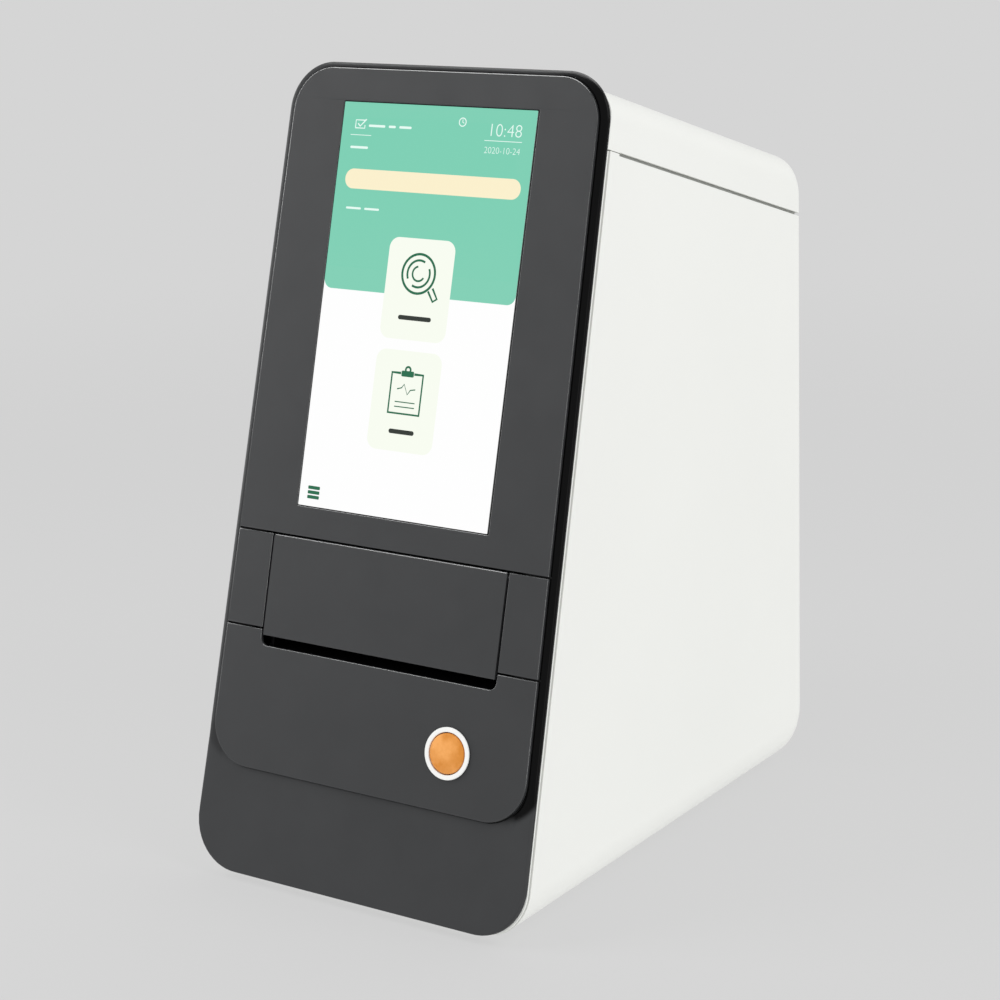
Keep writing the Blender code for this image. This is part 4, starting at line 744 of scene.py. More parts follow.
display_width, display_foot, display_head = 0.0859, 0.1446, 0.2987
side_shift = 0.0011
door_half_width, door_head, hinge_boss = 0.0534, 0.13255, 0.005
button_x, button_up = 0.0369, 0.0635
ring_neck_radius = 0.0089
neck_inset, neck_wall, neck_length = 0.003, 0.002, 0.007
lip_round = 0.00015
lip_front, lip_back, foot_trim = -0.0006, -0.0013, 0.0003
collar_inset, collar_back = 0.0008, -0.0023


def window_outline(grow, shift=0.0):
    """The display's window, its left side moved out by shift."""
    side = display_width / 2 + grow
    return rectangle(-side - shift, side, display_foot - grow, display_head + grow, 0.0006)


def bay_outline():
    return rectangle(-bay_half_width, bay_half_width, bay_floor, bay_head)


foot = lip_thickness * tan(lean_angle) + foot_trim
seam_half = half_width_up(seam_line)
head = case_top - neck_inset
head_half = half_width_up(head) - neck_inset
lip = [
    (-half_width_up(foot), foot, base_edge_radius),
    (half_width_up(foot), foot, base_edge_radius),
    (seam_half, seam_line - fit, 0),
    (seam_half - neck_inset, seam_line - fit, 0),
    (head_half, head, top_edge_radius - neck_inset),
    (-head_half, head, top_edge_radius - neck_inset),
    (-seam_half + neck_inset, seam_line - fit, 0),
    (-seam_half, seam_line - fit, 0),
]
openings = [window_outline(0.0035), bay_outline(), circle(button_x, button_up, ring_neck_radius + 0.0004)]
lip_plate = prism([lip, *openings], lip_back, lip_front, lip_round, 18, on_front)
neck = case_form(neck_inset, -lip_thickness / 2)
behind = prism([rectangle(-far, far, -far, far)], -far, -lip_thickness - neck_length, place=on_front)
neck = shaped(neck, "DIFFERENCE", behind, case_form(neck_inset + neck_wall, 0.004))
past_collar = prism([rectangle(-far, far, -far, far)], -far, collar_back, place=on_front)
collar = shaped(case_form(collar_inset, lip_back - 0.00002), "DIFFERENCE", past_collar, seam_side(-fit, True))
collar = shaped(collar, "DIFFERENCE", case_form(neck_inset + neck_wall / 2, 0.004))
seat(piece_of("frame_lip", lip_plate, white), "case", "white_plastic", "front_frame")
# The collar, seen only in the groove behind the lip, carries painted shade.
seat(piece_of("frame_collar", collar, shaded_gap_white, case_edge, 2, 40), "case", "white_plastic")
seat(piece_of("frame_neck", neck, white, case_edge, 2, 40), "case", "white_plastic")

# Display behind the glass
# The panel module, the zinc sheet bracket that holds it and the processor board on its standoffs.

seat(piece_of("panel_module", folded_form("display_module"), black, 0.0003), "case", "black_plastic", "display_module")
seat(piece_of("panel_bracket", folded_form("display_bracket"), zinc, sheet_edge), "case", "sheet_steel", "display_bracket")
seat(piece_of("processor_board", folded_form("main_board"), board_mask, 0.0001), "case", "circuit_board", "main_board")

# Dark bezel
# A charcoal moulding over the whole front. Its lower field is matte; round the plates it has a convex
# high-gloss rim, which thins out below them and sinks softly into the lower field. The rim's near
# black is partly painted shade: it is darkest down its right side, and soft painted shadows fade out
# round the plates' lower corners.

plate_foot, plate_head = 0.0417, 0.3112
plate_inset, plate_corner = 0.0035, 0.017
pocket_floor, pocket_gap = 0.00085, 0.0003
rim_crest, rim_low, field_level = 0.00175, 0.00036, 0.0014
rim_shoulder, field_round, outer_inset = 0.00035, 0.00105, 0.0002
rim_foot_radius, rim_head_radius = 0.020, 0.0185
skirt_back = -0.0005
charcoal_colour = (0.0362, 0.0376, 0.0394)
field_colour = (0.0530, 0.0543, 0.0562)
# Near black of the polished rim, which also serves as painted shade.
gloss_and_shade_colour = (0.002, 0.002, 0.0022)


def front_outline(inset, foot, head, foot_radius, head_radius):
    """The rounded outline of the leaning front between two heights up its slope."""
    low, high = half_width_up(foot) - inset, half_width_up(head) - inset
    return [
        (-low, foot, foot_radius),
        (low, foot, foot_radius),
        (high, head, head_radius),
        (-high, head, head_radius),
    ]


def pocket_outline(grow):
    """The outline of the pocket that the plates lie in."""
    reach = pocket_gap + grow
    return front_outline(plate_inset - reach, plate_foot - reach, plate_head + reach, plate_corner, plate_corner)


def outline_walk(corners, arc_steps, run_steps):
    """Walks round an outline: (point, outward direction) at even steps of its arcs and straights."""
    spots = [Vector(corner[:2]) for corner in corners]
    arcs = []
    for index, (x, y, radius) in enumerate(corners):
        before, after = spots[index - 1], spots[(index + 1) % len(spots)]
        arcs.append(fillet_points(before, spots[index], after, radius, arc_steps))
    walk = []
    for index, arc in enumerate(arcs):
        start, end = arc[-1], arcs[(index + 1) % len(arcs)][0]
        for point in arc:
            walk.append(point)
        walk += [start.lerp(end, step / run_steps) for step in range(1, run_steps)]
    turned_walk = []
    for index, point in enumerate(walk):
        along = (walk[(index + 1) % len(walk)] - walk[index - 1]).normalized()
        turned_walk.append((point, Vector((along.y, -along.x))))
    return turned_walk


def edge_hit(start, direction, fence):
    """How far a ray runs from start before it meets the fence of points."""
    nearest = far
    for index, point in enumerate(fence):
        side = fence[(index + 1) % len(fence)] - point
        determinant = direction.x * -side.y + side.x * direction.y
        if abs(determinant) < 1e-12:
            continue
        step = point - start
        run = (step.x * -side.y + side.x * step.y) / determinant
        share = (direction.x * step.y - direction.y * step.x) / determinant
        if 0 < run < nearest and -1e-6 <= share <= 1 + 1e-6:
            nearest = run
    return nearest


def rim_share(point, direction):
    """1 where the glossy rim is whole, falling to 0 round the plates' lower corners."""
    if point.y > plate_foot + plate_corner:
        return 1.0
    if direction.y > -1e-6:
        return 1.0
    fall = min(1.0, atan2(-direction.y, abs(direction.x)) / radians(72))
    return (1 - fall) ** 2 * (1 + 2 * fall)


def side_gloss_and_shade(point):
    """The rim is polished black down its right side, where the black is also painted shade; over the head and the left
    side it is matte.
    """
    share = min(1.0, max(0.0, (point.x - 0.040) / 0.024))
    return 0.3 + 0.7 * share * share * (3 - 2 * share)


def rim_profile(length):
    """Height over the rim from its inner shoulder to the outer edge, as (distance, height)."""
    points = [(0, rim_crest - 0.0003), (rim_shoulder / 4, rim_crest - 0.0001), (rim_shoulder, rim_crest)]
    for step in range(1, 15):
        turn = pi / 2 * step / 14
        reach = rim_shoulder + (length - rim_shoulder) * sin(turn)
        points.append((reach, rim_low + (rim_crest - rim_low) * cos(turn)))
    return points


def field_profile(length):
    """The same number of points over the flat lower field, with its rounded outer edge."""
    points = [(0, field_level - 0.0002), (0.00006, field_level - 0.00005), (0.0002, field_level)]
    flat = length - field_round
    points += [(0.0002 + (flat - 0.0002) * step / 7, field_level) for step in range(1, 8)]
    for step in range(1, 8):
        turn = pi / 2 * step / 7
        height = rim_low + (field_level - rim_low) * cos(turn)
        points.append((flat + field_round * sin(turn), height))
    return points


def bezel_rim():
    """The rim and the lower field as one closed ring round the pocket, with a mark per point for gloss and painted
    shade.
    """
    inner = pocket_outline(0)
    outer_edge = front_outline(outer_inset, foot_trim, front_height, rim_foot_radius, rim_head_radius)
    fence = [point for point, _ in outline_walk(outer_edge, 48, 2)]
    work = bmesh.new()
    marks = work.verts.layers.float.new("gloss")
    rows = []
    for point, direction in outline_walk(inner, 40, 44):
        length = edge_hit(point, direction, fence)
        share = rim_share(point, direction)
        row = []
        for (d_rim, n_rim), (d_flat, n_flat) in zip(rim_profile(length), field_profile(length)):
            distance = d_rim * share + d_flat * (1 - share)
            height = n_rim * share + n_flat * (1 - share)
            reach = 0.0045 * share**0.7 + 0.0012 * share
            height -= 0.0005 * share * (1 - share) * 4 * max(0.0, 1 - distance / 0.006)
            spot = point + direction * distance
            vert = work.verts.new((spot.x, spot.y, height))
            # Painted shadow: round the plates' lower corners the rim's black fades out softly, like the shade under the
            # corners.
            corner_shadow_fade = min(1.0, max(0.0, (reach - distance) / 0.0018 + 0.5))
            vert[marks] = (1.0 if share > 0.995 else corner_shadow_fade * min(1.0, share * 3)) * side_gloss_and_shade(point)
            row.append(vert)
        outer, near = point + direction * length, point
        row.append(work.verts.new((outer.x, outer.y, skirt_back)))
        row.append(work.verts.new((near.x, near.y, skirt_back)))
        for vert in row[-2:]:
            vert[marks] = row[0][marks]
        rows.append(row)
    for row, onward in zip(rows, rows[1:] + rows[:1]):
        for index in range(len(row)):
            after = (index + 1) % len(row)
            work.faces.new((row[index], row[after], onward[after], onward[index]))
    return closed_mesh(work, on_front)


bezel_skin = finish("bezel_moulding", field_colour, 0.5, specular=0.1)
mark = bezel_skin.node_tree.nodes.new("ShaderNodeAttribute")
mark.attribute_name = "gloss"
uneven = tint(bezel_skin, cloud(bezel_skin, 40, 4), mellowed(field_colour, 0.95), mellowed(field_colour, 1.04))
mixed = bezel_skin.node_tree.nodes.new("ShaderNodeMix")
mixed.data_type = "RGBA"
from_colour, to_colour = [socket for socket in mixed.inputs if socket.type == "RGBA"]
mixed_colour = [socket for socket in mixed.outputs if socket.type == "RGBA"][0]
# The mark mixes the field towards near black: real gloss, and painted shade down the right side and under the plates'
# lower corners.
to_colour.default_value = (*gloss_and_shade_colour, 1)
join_sockets(bezel_skin, mark.outputs["Fac"], mixed.inputs[0])
join_sockets(bezel_skin, uneven, from_colour)
join_sockets(bezel_skin, mixed_colour, shader_input(bezel_skin, "Base Color"))
smoothness = node_of(bezel_skin, "ShaderNodeMapRange", To_Min=0.5, To_Max=0.16)
join_sockets(bezel_skin, mark.outputs["Fac"], smoothness.inputs["Value"])
join_sockets(bezel_skin, smoothness.outputs["Result"], shader_input(bezel_skin, "Roughness"))
relief(bezel_skin, cloud(bezel_skin, 4500, 2), 0.00002, 0.5)

seat(piece_of("bezel", bezel_rim(), bezel_skin, crease=40), "case", "dark_gloss_plastic", "front_bezel")

# Painted shade: the pocket floor, seen only down the gaps round the plates and through the finger slot, is near black.
pocket_shade_finish = finish("bezel_pocket_painted_shade", (0.006, 0.006, 0.0065), 0.5, specular=0.25)
polish(pocket_shade_finish, cloud(pocket_shade_finish, 700), 0.42, 0.6)
relief(pocket_shade_finish, cloud(pocket_shade_finish, 4500), 0.00002)
pocket_plate = prism([pocket_outline(-0.00002), *openings], skirt_back, pocket_floor, 0, 24, on_front)
seat(piece_of("bezel_pocket", pocket_plate, pocket_shade_finish), "case", "dark_gloss_plastic")

# Front plates
# Matte charcoal mouldings that lie in the bezel's pocket: the surround of the display, a strip on
# either side of the door and the lower plate with the finger slot. Fine seams run between them.

plate_back, plate_front = pocket_floor + fit, 0.0029
seam_gap, door_gap = 0.0007, 0.0009
lower_seam, upper_seam = 0.0958, 0.1328
slot_floor, slot_corner = 0.0894, 0.003
plate_round = 0.0004


def charcoal_finish(name, smooth, rough, grain, specular):
    """Charcoal moulding with a fine matte texture, which is finer where hands have rubbed it."""
    made = finish(name, charcoal_colour, 0.5, specular=specular)
    tint(made, cloud(made, 40, 4), mellowed(charcoal_colour, 0.96), mellowed(charcoal_colour, 1.04))
    polish(made, cloud(made, 90, 5), smooth, rough)
    relief(made, cloud(made, 4500, 2), 0.00003 * grain, 0.6)
    relief(made, cloud(made, 1500, 2), 0.00001 * grain, 0.5)
    return made


charcoal = charcoal_finish("charcoal_moulding", 0.44, 0.56, 1, 0.33)
rubbed_charcoal = charcoal_finish("charcoal_rubbed_edge", 0.17, 0.24, 0.2, 0.6)


def rubbed(piece):
    """Gives the rounded edges of a front plate their smoother finish."""
    piece.data.materials.append(rubbed_charcoal)
    outward = on_front.to_3x3() @ Vector((0, 0, 1))
    for face in piece.data.polygons:
        if 0.04 < face.normal.dot(outward) < 0.999:
            face.material_index = 1
    return piece


def plate_half(up):
    return half_width_up(up) - plate_inset


half_gap = seam_gap / 2
low = upper_seam + half_gap
surround = [
    (-plate_half(low), low, 0),
    (plate_half(low), low, 0),
    (plate_half(plate_head), plate_head, plate_corner),
    (-plate_half(plate_head), plate_head, plate_corner),
]
surround_plate = prism([surround, window_outline(0, side_shift)], plate_back, plate_front, plate_round, 24, on_front)
seat(rubbed(piece_of("surround", surround_plate, charcoal, crease=40)), "case", "dark_plastic", "display_surround")

for x_sign, side in ((-1, "left"), (1, "right")):
    foot, head, inner = lower_seam + half_gap, upper_seam - half_gap, door_half_width + door_gap / 2
    corners = [(inner, foot), (plate_half(foot), foot), (plate_half(head), head), (inner, head)]
    strip = prism([[(x_sign * x, up, 0) for x, up in corners]], plate_back, plate_front, plate_round, 12, on_front)
    seat(rubbed(piece_of(f"side_strip_{side}", strip, charcoal, crease=40)), "case", "dark_plastic", f"strip_{side}")

notch, top = door_half_width + door_gap / 2, lower_seam - half_gap
lower = [
    (-plate_half(plate_foot), plate_foot, plate_corner),
    (plate_half(plate_foot), plate_foot, plate_corner),
    (plate_half(top), top, 0),
    (notch, top, 0),
    (notch, slot_floor, slot_corner),
    (-notch, slot_floor, slot_corner),
    (-notch, top, 0),
    (-plate_half(top), top, 0),
]
hole = circle(button_x, button_up, ring_neck_radius + 0.0004, 64)
lower_form = prism([lower, hole], plate_back, plate_front, plate_round, 24, on_front)
seat(rubbed(piece_of("lower_field", lower_form, charcoal, crease=40)), "case", "dark_plastic", "lower_plate")

# Touch display
# A 7 inch panel under clear glass, flush with its surround and lit. The picture lies just under the
# glass: a green header with a clock, an entry field, two tiles and a menu mark, in plain shapes.

glass_back, glass_top = plate_back, 0.00269
picture_step, glass_gap = 0.000025, 0.00025
middle_up = 0.1745
screen_green, screen_cream = shade(131, 208, 182), shade(251, 240, 205)
screen_white, screen_tile = shade(254, 254, 254), shade(248, 252, 241)
screen_dark, screen_ink = shade(20, 110, 80), shade(55, 60, 56)
glass_shine, glass_clearness = 0.027, 0.955


def lit(name, colour):
    """A lit part of the picture, seen through the polished cover glass."""
    made = finish(name, (0.006, 0.006, 0.006), 0.35, coat=1.0, specular=0.0)
    glow = tuple(max(0.0, channel - glass_shine) / glass_clearness for channel in colour)
    shader_input(made, "Emission Color").default_value = (*glow, 1)
    shader_input(made, "Emission Strength").default_value = 1.0
    pixels = cloud(made, 11000, 0)
    dots = node_of(made, "ShaderNodeMapRange", From_Min=0.3, From_Max=0.7, To_Min=0.985, To_Max=1.0)
    join_sockets(made, pixels, dots.inputs["Value"])
    join_sockets(made, dots.outputs["Result"], shader_input(made, "Emission Strength"))
    relief(made, cloud(made, 30, 1), 0.00001, 0.2)
    return made


def layer(number):
    """The low and high level of one layer of the picture."""
    return glass_top + picture_step * (number - 1), glass_top + picture_step * number


def patch(x_low, x_high, v_low, v_high, radius, number):
    """A flat rounded field of the picture, in millimetres from the display's middle."""
    outline = rectangle(x_low / 1000, x_high / 1000, v_low / 1000 + middle_up, v_high / 1000 + middle_up, radius / 1000)
    return prism([outline], *layer(number), place=on_front)


def stroke(points, width, number, closed=False):
    """A drawn line of the picture: a flattened tube along points in millimetres."""
    curve = bpy.data.curves.new("stroke", "CURVE")
    curve.dimensions = "3D"
    curve.bevel_depth = width / 2000
    curve.bevel_resolution = 3
    curve.use_fill_caps = True
    spline = curve.splines.new("POLY")
    spline.points.add(len(points) - 1)
    for knot, (x, v) in zip(spline.points, points):
        knot.co = (x / 1000, v / 1000 + middle_up, 0, 1)
    spline.use_cyclic_u = closed
    holder = stand_in(curve)
    bpy.context.view_layer.update()
    mesh = bpy.data.meshes.new_from_object(holder.evaluated_get(bpy.context.evaluated_depsgraph_get()))
    bpy.data.objects.remove(holder)
    low, high = layer(number)
    mesh.transform(on_front @ Matrix.Translation((0, 0, low)) @ Matrix.Diagonal((1, 1, picture_step * 2000 / width, 1)))
    return mesh


def arc_points(x, v, radius, start, end, steps=40):
    angles = [radians(start + (end - start) * step / steps) for step in range(steps + 1)]
    return [(x + radius * cos(a), v + radius * sin(a)) for a in angles]


def digits(text, x_low, x_high, v_low, v_high, number):
    """Plain numbers of the clock, set to fill a box in millimetres."""
    curve = bpy.data.curves.new("digits", "FONT")
    curve.body = text
    curve.size = 1.0
    curve.offset = -0.018
    curve.extrude = 0.5
    holder = stand_in(curve)
    bpy.context.view_layer.update()
    mesh = bpy.data.meshes.new_from_object(holder.evaluated_get(bpy.context.evaluated_depsgraph_get()))
    bpy.data.objects.remove(holder)
    xs, ys = [v.co.x for v in mesh.vertices], [v.co.y for v in mesh.vertices]
    low, high = layer(number)
    wide = (x_high - x_low) / 1000 / (max(xs) - min(xs))
    tall = (v_high - v_low) / 1000 / (max(ys) - min(ys))
    sized = Matrix.Diagonal((wide, tall, high - low, 1)) @ Matrix.Translation((-min(xs), -min(ys), 0.5))
    mesh.transform(on_front @ Matrix.Translation((x_low / 1000, v_low / 1000 + middle_up, low)) @ sized)
    return mesh


def gathered(*meshes):
    """Several closed forms as one mesh."""
    work = bmesh.new()
    for mesh in meshes:
        work.from_mesh(mesh)
    return closed_mesh(work)


slab = prism([window_outline(-glass_gap, side_shift)], glass_back, glass_top, 0.0001, 8, on_front)
slab_finish = finish("cover_glass_edge", (0.01, 0.012, 0.012), 0.08, coat=1.0)
polish(slab_finish, cloud(slab_finish, 400), 0.05, 0.12)
seat(piece_of("display_glass", slab, slab_finish), "case", "display_glass", "touch_glass")

left, right = -43.74, 42.3
foot_v, head_v = (display_foot - middle_up) * 1000 + 0.35, (display_head - middle_up) * 1000 - 0.3
white_page = patch(left, right, foot_v, head_v, 0.3, 1)
header = gathered(patch(left, right, 53.4, head_v, 3.6, 2), patch(left, right, 62, head_v, 0.3, 2))
entry = patch(-39.6, 38.9, 91.4, 98.9, 3.7, 3)
tiles = gathered(patch(-15.5, 14, 37, 74.7, 4.2, 3), patch(-15.5, 14, -4.5, 33, 4.2, 3))

light_marks = [
    digits("10:48", 23.2, 36.5, 113.9, 118.4, 3),
    digits("2020-10-24", 21.2, 36.6, 107.6, 109.9, 3),
    stroke([(20.8, 112.2), (37.0, 112.2)], 0.26, 3),
    stroke(arc_points(10.4, 118.4, 1.5, 0, 351), 0.4, 3, True),
    stroke([(10.4, 119.4), (10.4, 118.4), (11.1, 118.0)], 0.35, 3),
    stroke([(-37.7, 114.2), (-37.7, 117.2), (-33.4, 117.2)], 0.45, 3),
    stroke([(-37.7, 114.2), (-33.4, 114.2), (-33.4, 115.4)], 0.45, 3),
    stroke([(-36.6, 115.9), (-35.6, 114.9), (-32.9, 117.6)], 0.55, 3),
    patch(-31.6, -24.0, 114.8, 115.7, 0.45, 3),
    patch(-22.4, -19.2, 114.8, 115.7, 0.45, 3),
    patch(-17.6, -12.0, 114.8, 115.7, 0.45, 3),
    patch(-39.0, -30.8, 106.5, 107.4, 0.45, 3),
    patch(-37.7, -30.8, 83.7, 84.5, 0.4, 3),
    patch(-29.2, -22.4, 83.7, 84.5, 0.4, 3),
    stroke([(-39.6, 111.6), (-30.0, 111.6)], 0.25, 3),
]
ink_marks = [patch(-8, 6.8, 44.3, 46.0, 0.85, 4), patch(-6.2, 5.2, 2.0, 3.7, 0.85, 4)]
magnifier_x, magnifier_v = -1.1, 61.7
green_marks = [
    stroke(arc_points(magnifier_x, magnifier_v, 7.3, 0, 352, 64), 0.95, 4, True),
    stroke(arc_points(magnifier_x, magnifier_v, 5.0, 62, 205), 0.85, 4),
    stroke(arc_points(magnifier_x, magnifier_v, 5.0, 242, 385), 0.85, 4),
    stroke(arc_points(magnifier_x, magnifier_v, 2.7, 100, 330), 0.75, 4),
    stroke([(4.0, 55.6), (6.5, 51.9), (8.3, 53.0), (5.9, 56.8)], 0.9, 4),
    stroke([(-3.6, 24.6), (-7.6, 24.6), (-7.6, 9.6), (6.4, 9.6), (6.4, 24.6), (2.4, 24.6)], 0.95, 4),
    patch(-3.4, 2.2, 23.4, 25.6, 0.5, 4),
    stroke(arc_points(-0.6, 26.0, 1.1, 0, 352, 24), 0.8, 4, True),
    stroke([(-4.6, 18.6), (-2.6, 19.2), (-1.6, 20.6), (0.2, 16.8), (1.4, 18.6), (3.6, 19.0)], 0.45, 4),
    stroke([(-5.0, 13.9), (4.0, 13.9)], 0.4, 4),
    stroke([(-5.0, 12.1), (4.0, 12.1)], 0.4, 4),
    patch(-39.9, -34.4, -23.1, -21.8, 0.35, 4),
    patch(-39.9, -34.4, -24.9, -23.6, 0.35, 4),
    patch(-39.9, -34.4, -26.7, -25.4, 0.35, 4),
]
for name, mesh, colour in (
    ("picture_page", white_page, screen_white),
    ("picture_header", header, screen_green),
    ("picture_entry", entry, screen_cream),
    ("picture_tiles", tiles, screen_tile),
    ("picture_light_marks", gathered(*light_marks), shade(232, 252, 244)),
    ("picture_ink_marks", gathered(*ink_marks), screen_ink),
    ("picture_green_marks", gathered(*green_marks), screen_dark),
):
    seat(piece_of(name, mesh, lit(name + "_light", colour)), "case", "display_glass")

# Card door and its hinge pin
# A charcoal flap that turns up on a steel pin along its head. Its foot has a lip for the fingers,
# which reaches over the slot in the lower plate.

hinge_depth = 0.0019
hinge_up, hinge_out = door_head - hinge_depth, plate_front - hinge_depth
door_foot = lower_seam - 0.0025
pin_radius, head_round, door_corner = 0.00095, 0.0009, 0.0011
on_hinge = on_front @ Matrix.Translation((0, hinge_up, hinge_out)) @ across_x
back, foot = hinge_depth - 0.00175, door_foot - hinge_up
lip_front = hinge_depth - 0.004
flap = [
    (foot, hinge_depth, 0.0004),
    (hinge_depth, hinge_depth, head_round),
    (hinge_depth, -hinge_depth, hinge_depth * 0.98),
    (-hinge_depth, -hinge_depth, 0.0004),
    (-hinge_depth * 2, back, 0),
    (foot + 0.0016, back, 0),
    (foot + 0.0016, lip_front, 0.0004),
    (foot, lip_front, 0.0004),
]
door_side = door_half_width - door_gap / 2
door = prism([flap, circle(0, 0, pin_radius + 0.0002, 32)], -door_side, door_side, 0, 14, on_hinge)
face = [
    (-door_side, door_foot, 0.0003),
    (door_side, door_foot, 0.0003),
    (door_side, door_head, door_corner),
    (-door_side, door_head, door_corner),
]
door = shaped(door, "INTERSECT", prism([face], -far, far, place=on_front))
seat(rubbed(piece_of("door_flap", door, charcoal, 0.0002, 2, 40)), "door", "dark_plastic", "card_door")
pin_reach = door_half_width + seam_gap / 2 + 0.0035
pin = [(0, -pin_reach), (pin_radius - 0.0002, -pin_reach), (pin_radius, -pin_reach + 0.0002)]
pin += [(radius, -height) for radius, height in reversed(pin)]
seat(piece_of("hinge_pin", turned(pin, 32, on_hinge), steel), "case", "bright_steel", "door_hinge_pin")

# Push button
# A satin orange cap in a glossy white ring. Its stem reaches the push switch behind the front.

ring_radius, ring_top, cap_radius = 0.0097, plate_front + 0.0008, 0.00755
ring_round, ring_inner = 0.0003, cap_radius + 0.0003
on_button = on_front @ Matrix.Translation((button_x, button_up, 0))

orange_colour = shade(243, 163, 80)
orange = finish("orange_cap", orange_colour, 0.38, specular=0.4)
tint(orange, cloud(orange, 105, 6), shade(222, 140, 48), shade(250, 174, 94), 0.38, 0.62)
polish(orange, cloud(orange, 1500), 0.3, 0.46)
relief(orange, cloud(orange, 3200, 3), 0.00004)
white_ring = finish("white_gloss_ring", shade(251, 251, 249), 0.22)
tint(white_ring, cloud(white_ring, 300, 4), shade(249, 249, 247), shade(253, 253, 251))
polish(white_ring, cloud(white_ring, 900), 0.18, 0.3)
relief(white_ring, cloud(white_ring, 2500), 0.000008)

ring = [
    (ring_inner, ring_top - ring_round),
    (ring_inner + ring_round * 0.3, ring_top - ring_round * 0.3),
    (ring_inner + ring_round, ring_top),
    (ring_radius - ring_round, ring_top),
    (ring_radius - ring_round * 0.3, ring_top - ring_round * 0.3),
    (ring_radius, ring_top - ring_round),
    (ring_radius, plate_front + fit),
    (ring_neck_radius, plate_front + fit),
    (ring_neck_radius, -0.009),
    (ring_inner, -0.009),
]
seat(piece_of("button_bezel", turned(ring, 128, on_button), white_ring, crease=50), "case", "white_gloss_plastic", "button_ring")

crown, dome = plate_front + 0.0009, 0.0009
cap = [(0, crown + dome)]
for step in range(1, 13):
    share = step / 12 * 0.93
    cap.append((cap_radius * share, crown + dome * (1 - share**2 * 1.16)))
for step in range(1, 7):
    turn = pi / 2 * step / 6
    reach = cap_radius * 0.93 + cap_radius * 0.07 * sin(turn)
    cap.append((reach, crown - dome + dome * cos(turn)))
cap += [(cap_radius, plate_front - 0.004), (0.0025, plate_front - 0.004), (0.0025, -0.0105), (0, -0.0105)]
seat(piece_of("button", turned(cap, 128, on_button), orange, crease=50), "button", "orange_plastic", "button_cap")
seat(piece_of("push_switch", folded_form("button_switch"), black, 0.0003), "case", "black_plastic", "button_switch")

# Top cover
# The second white moulding. It slips over the tongue of the lower shell and ends in a shadow gap,
# which is fine behind the front and wider from there to the back.

cover_front = skirt_back - 0.0001
rabbet = shaped(case_form(tongue_inset - fit, 0.004), "DIFFERENCE", seam_side(tongue_height + fit, True))
cover = shaped(case_form(0, cover_front), "DIFFERENCE", seam_side(fit, False, seam_lift), rabbet)
cover = shaped(cover, "DIFFERENCE", case_form(wall, 0.004))
seat(piece_of("cover", cover, white, case_edge, 2, 40), "case", "white_plastic", "top_cover")

# Studio
# A pale floor that fades into the pale surroundings, soft light from all sides, a small key from the front
# left, a broader and stronger fill from the upper right, lamps that only draw highlights on the dark front,
# and the camera of the photograph.

pale = shade(213, 213, 213)
sky_light = 0.75
key_watts, fill_watts = 1.4, 4.1
floor_radius, floor_clear, floor_fade = 2.0, 0.5, 1.4
floor_share, floor_bounce = 0.25, 1.15


def disc(radius, rings=24, steps=96):
    """A flat round floor just under the feet."""
    work = bmesh.new()
    rows = [[work.verts.new((0, 0, 0))]]
    for ring in range(1, rings + 1):
        reach = radius * (ring / rings) ** 1.5
        spots = [(reach * cos(2 * pi * s / steps), reach * sin(2 * pi * s / steps), 0) for s in range(steps)]
        rows.append([work.verts.new(spot) for spot in spots])
    for row, onward in zip(rows, rows[1:]):
        for index in range(steps):
            after = (index + 1) % steps
            ring = [row[index % len(row)], onward[index], onward[after], row[after % len(row)]]
            work.faces.new(list(dict.fromkeys(ring)))
    mesh = bpy.data.meshes.new("studio_floor")
    work.to_mesh(mesh)
    work.free()
    return mesh


floor = bpy.data.objects.new("studio_floor", disc(floor_radius))
bpy.context.scene.collection.objects.link(floor)
floor_finish = finish("pale_floor", mellowed(pale, floor_share), 0.9, specular=0.0)
shader_input(floor_finish, "Emission Color").default_value = (*pale, 1)
nodes = floor_finish.node_tree.nodes
output = nodes["Material Output"]
path = nodes.new("ShaderNodeLightPath")
glow = node_of(floor_finish, "ShaderNodeMapRange", To_Min=1 - floor_share, To_Max=floor_bounce)
join_sockets(floor_finish, path.outputs["Is Diffuse Ray"], glow.inputs["Value"])
join_sockets(floor_finish, glow.outputs["Result"], shader_input(floor_finish, "Emission Strength"))
place = nodes.new("ShaderNodeTexCoord")
distance = nodes.new("ShaderNodeVectorMath")
distance.operation = "LENGTH"
join_sockets(floor_finish, place.outputs["Object"], distance.inputs[0])
fading = node_of(floor_finish, "ShaderNodeMapRange", From_Min=floor_clear, From_Max=floor_fade, To_Min=0.0, To_Max=1.0)
fading.interpolation_type = "SMOOTHSTEP"
join_sockets(floor_finish, distance.outputs["Value"], fading.inputs["Value"])
clear = nodes.new("ShaderNodeBsdfTransparent")
blend = nodes.new("ShaderNodeMixShader")
join_sockets(floor_finish, fading.outputs["Result"], blend.inputs["Fac"])
join_sockets(floor_finish, nodes["Principled BSDF"].outputs["BSDF"], blend.inputs[1])
join_sockets(floor_finish, clear.outputs["BSDF"], blend.inputs[2])
join_sockets(floor_finish, blend.outputs["Shader"], output.inputs["Surface"])
floor.data.materials.append(floor_finish)

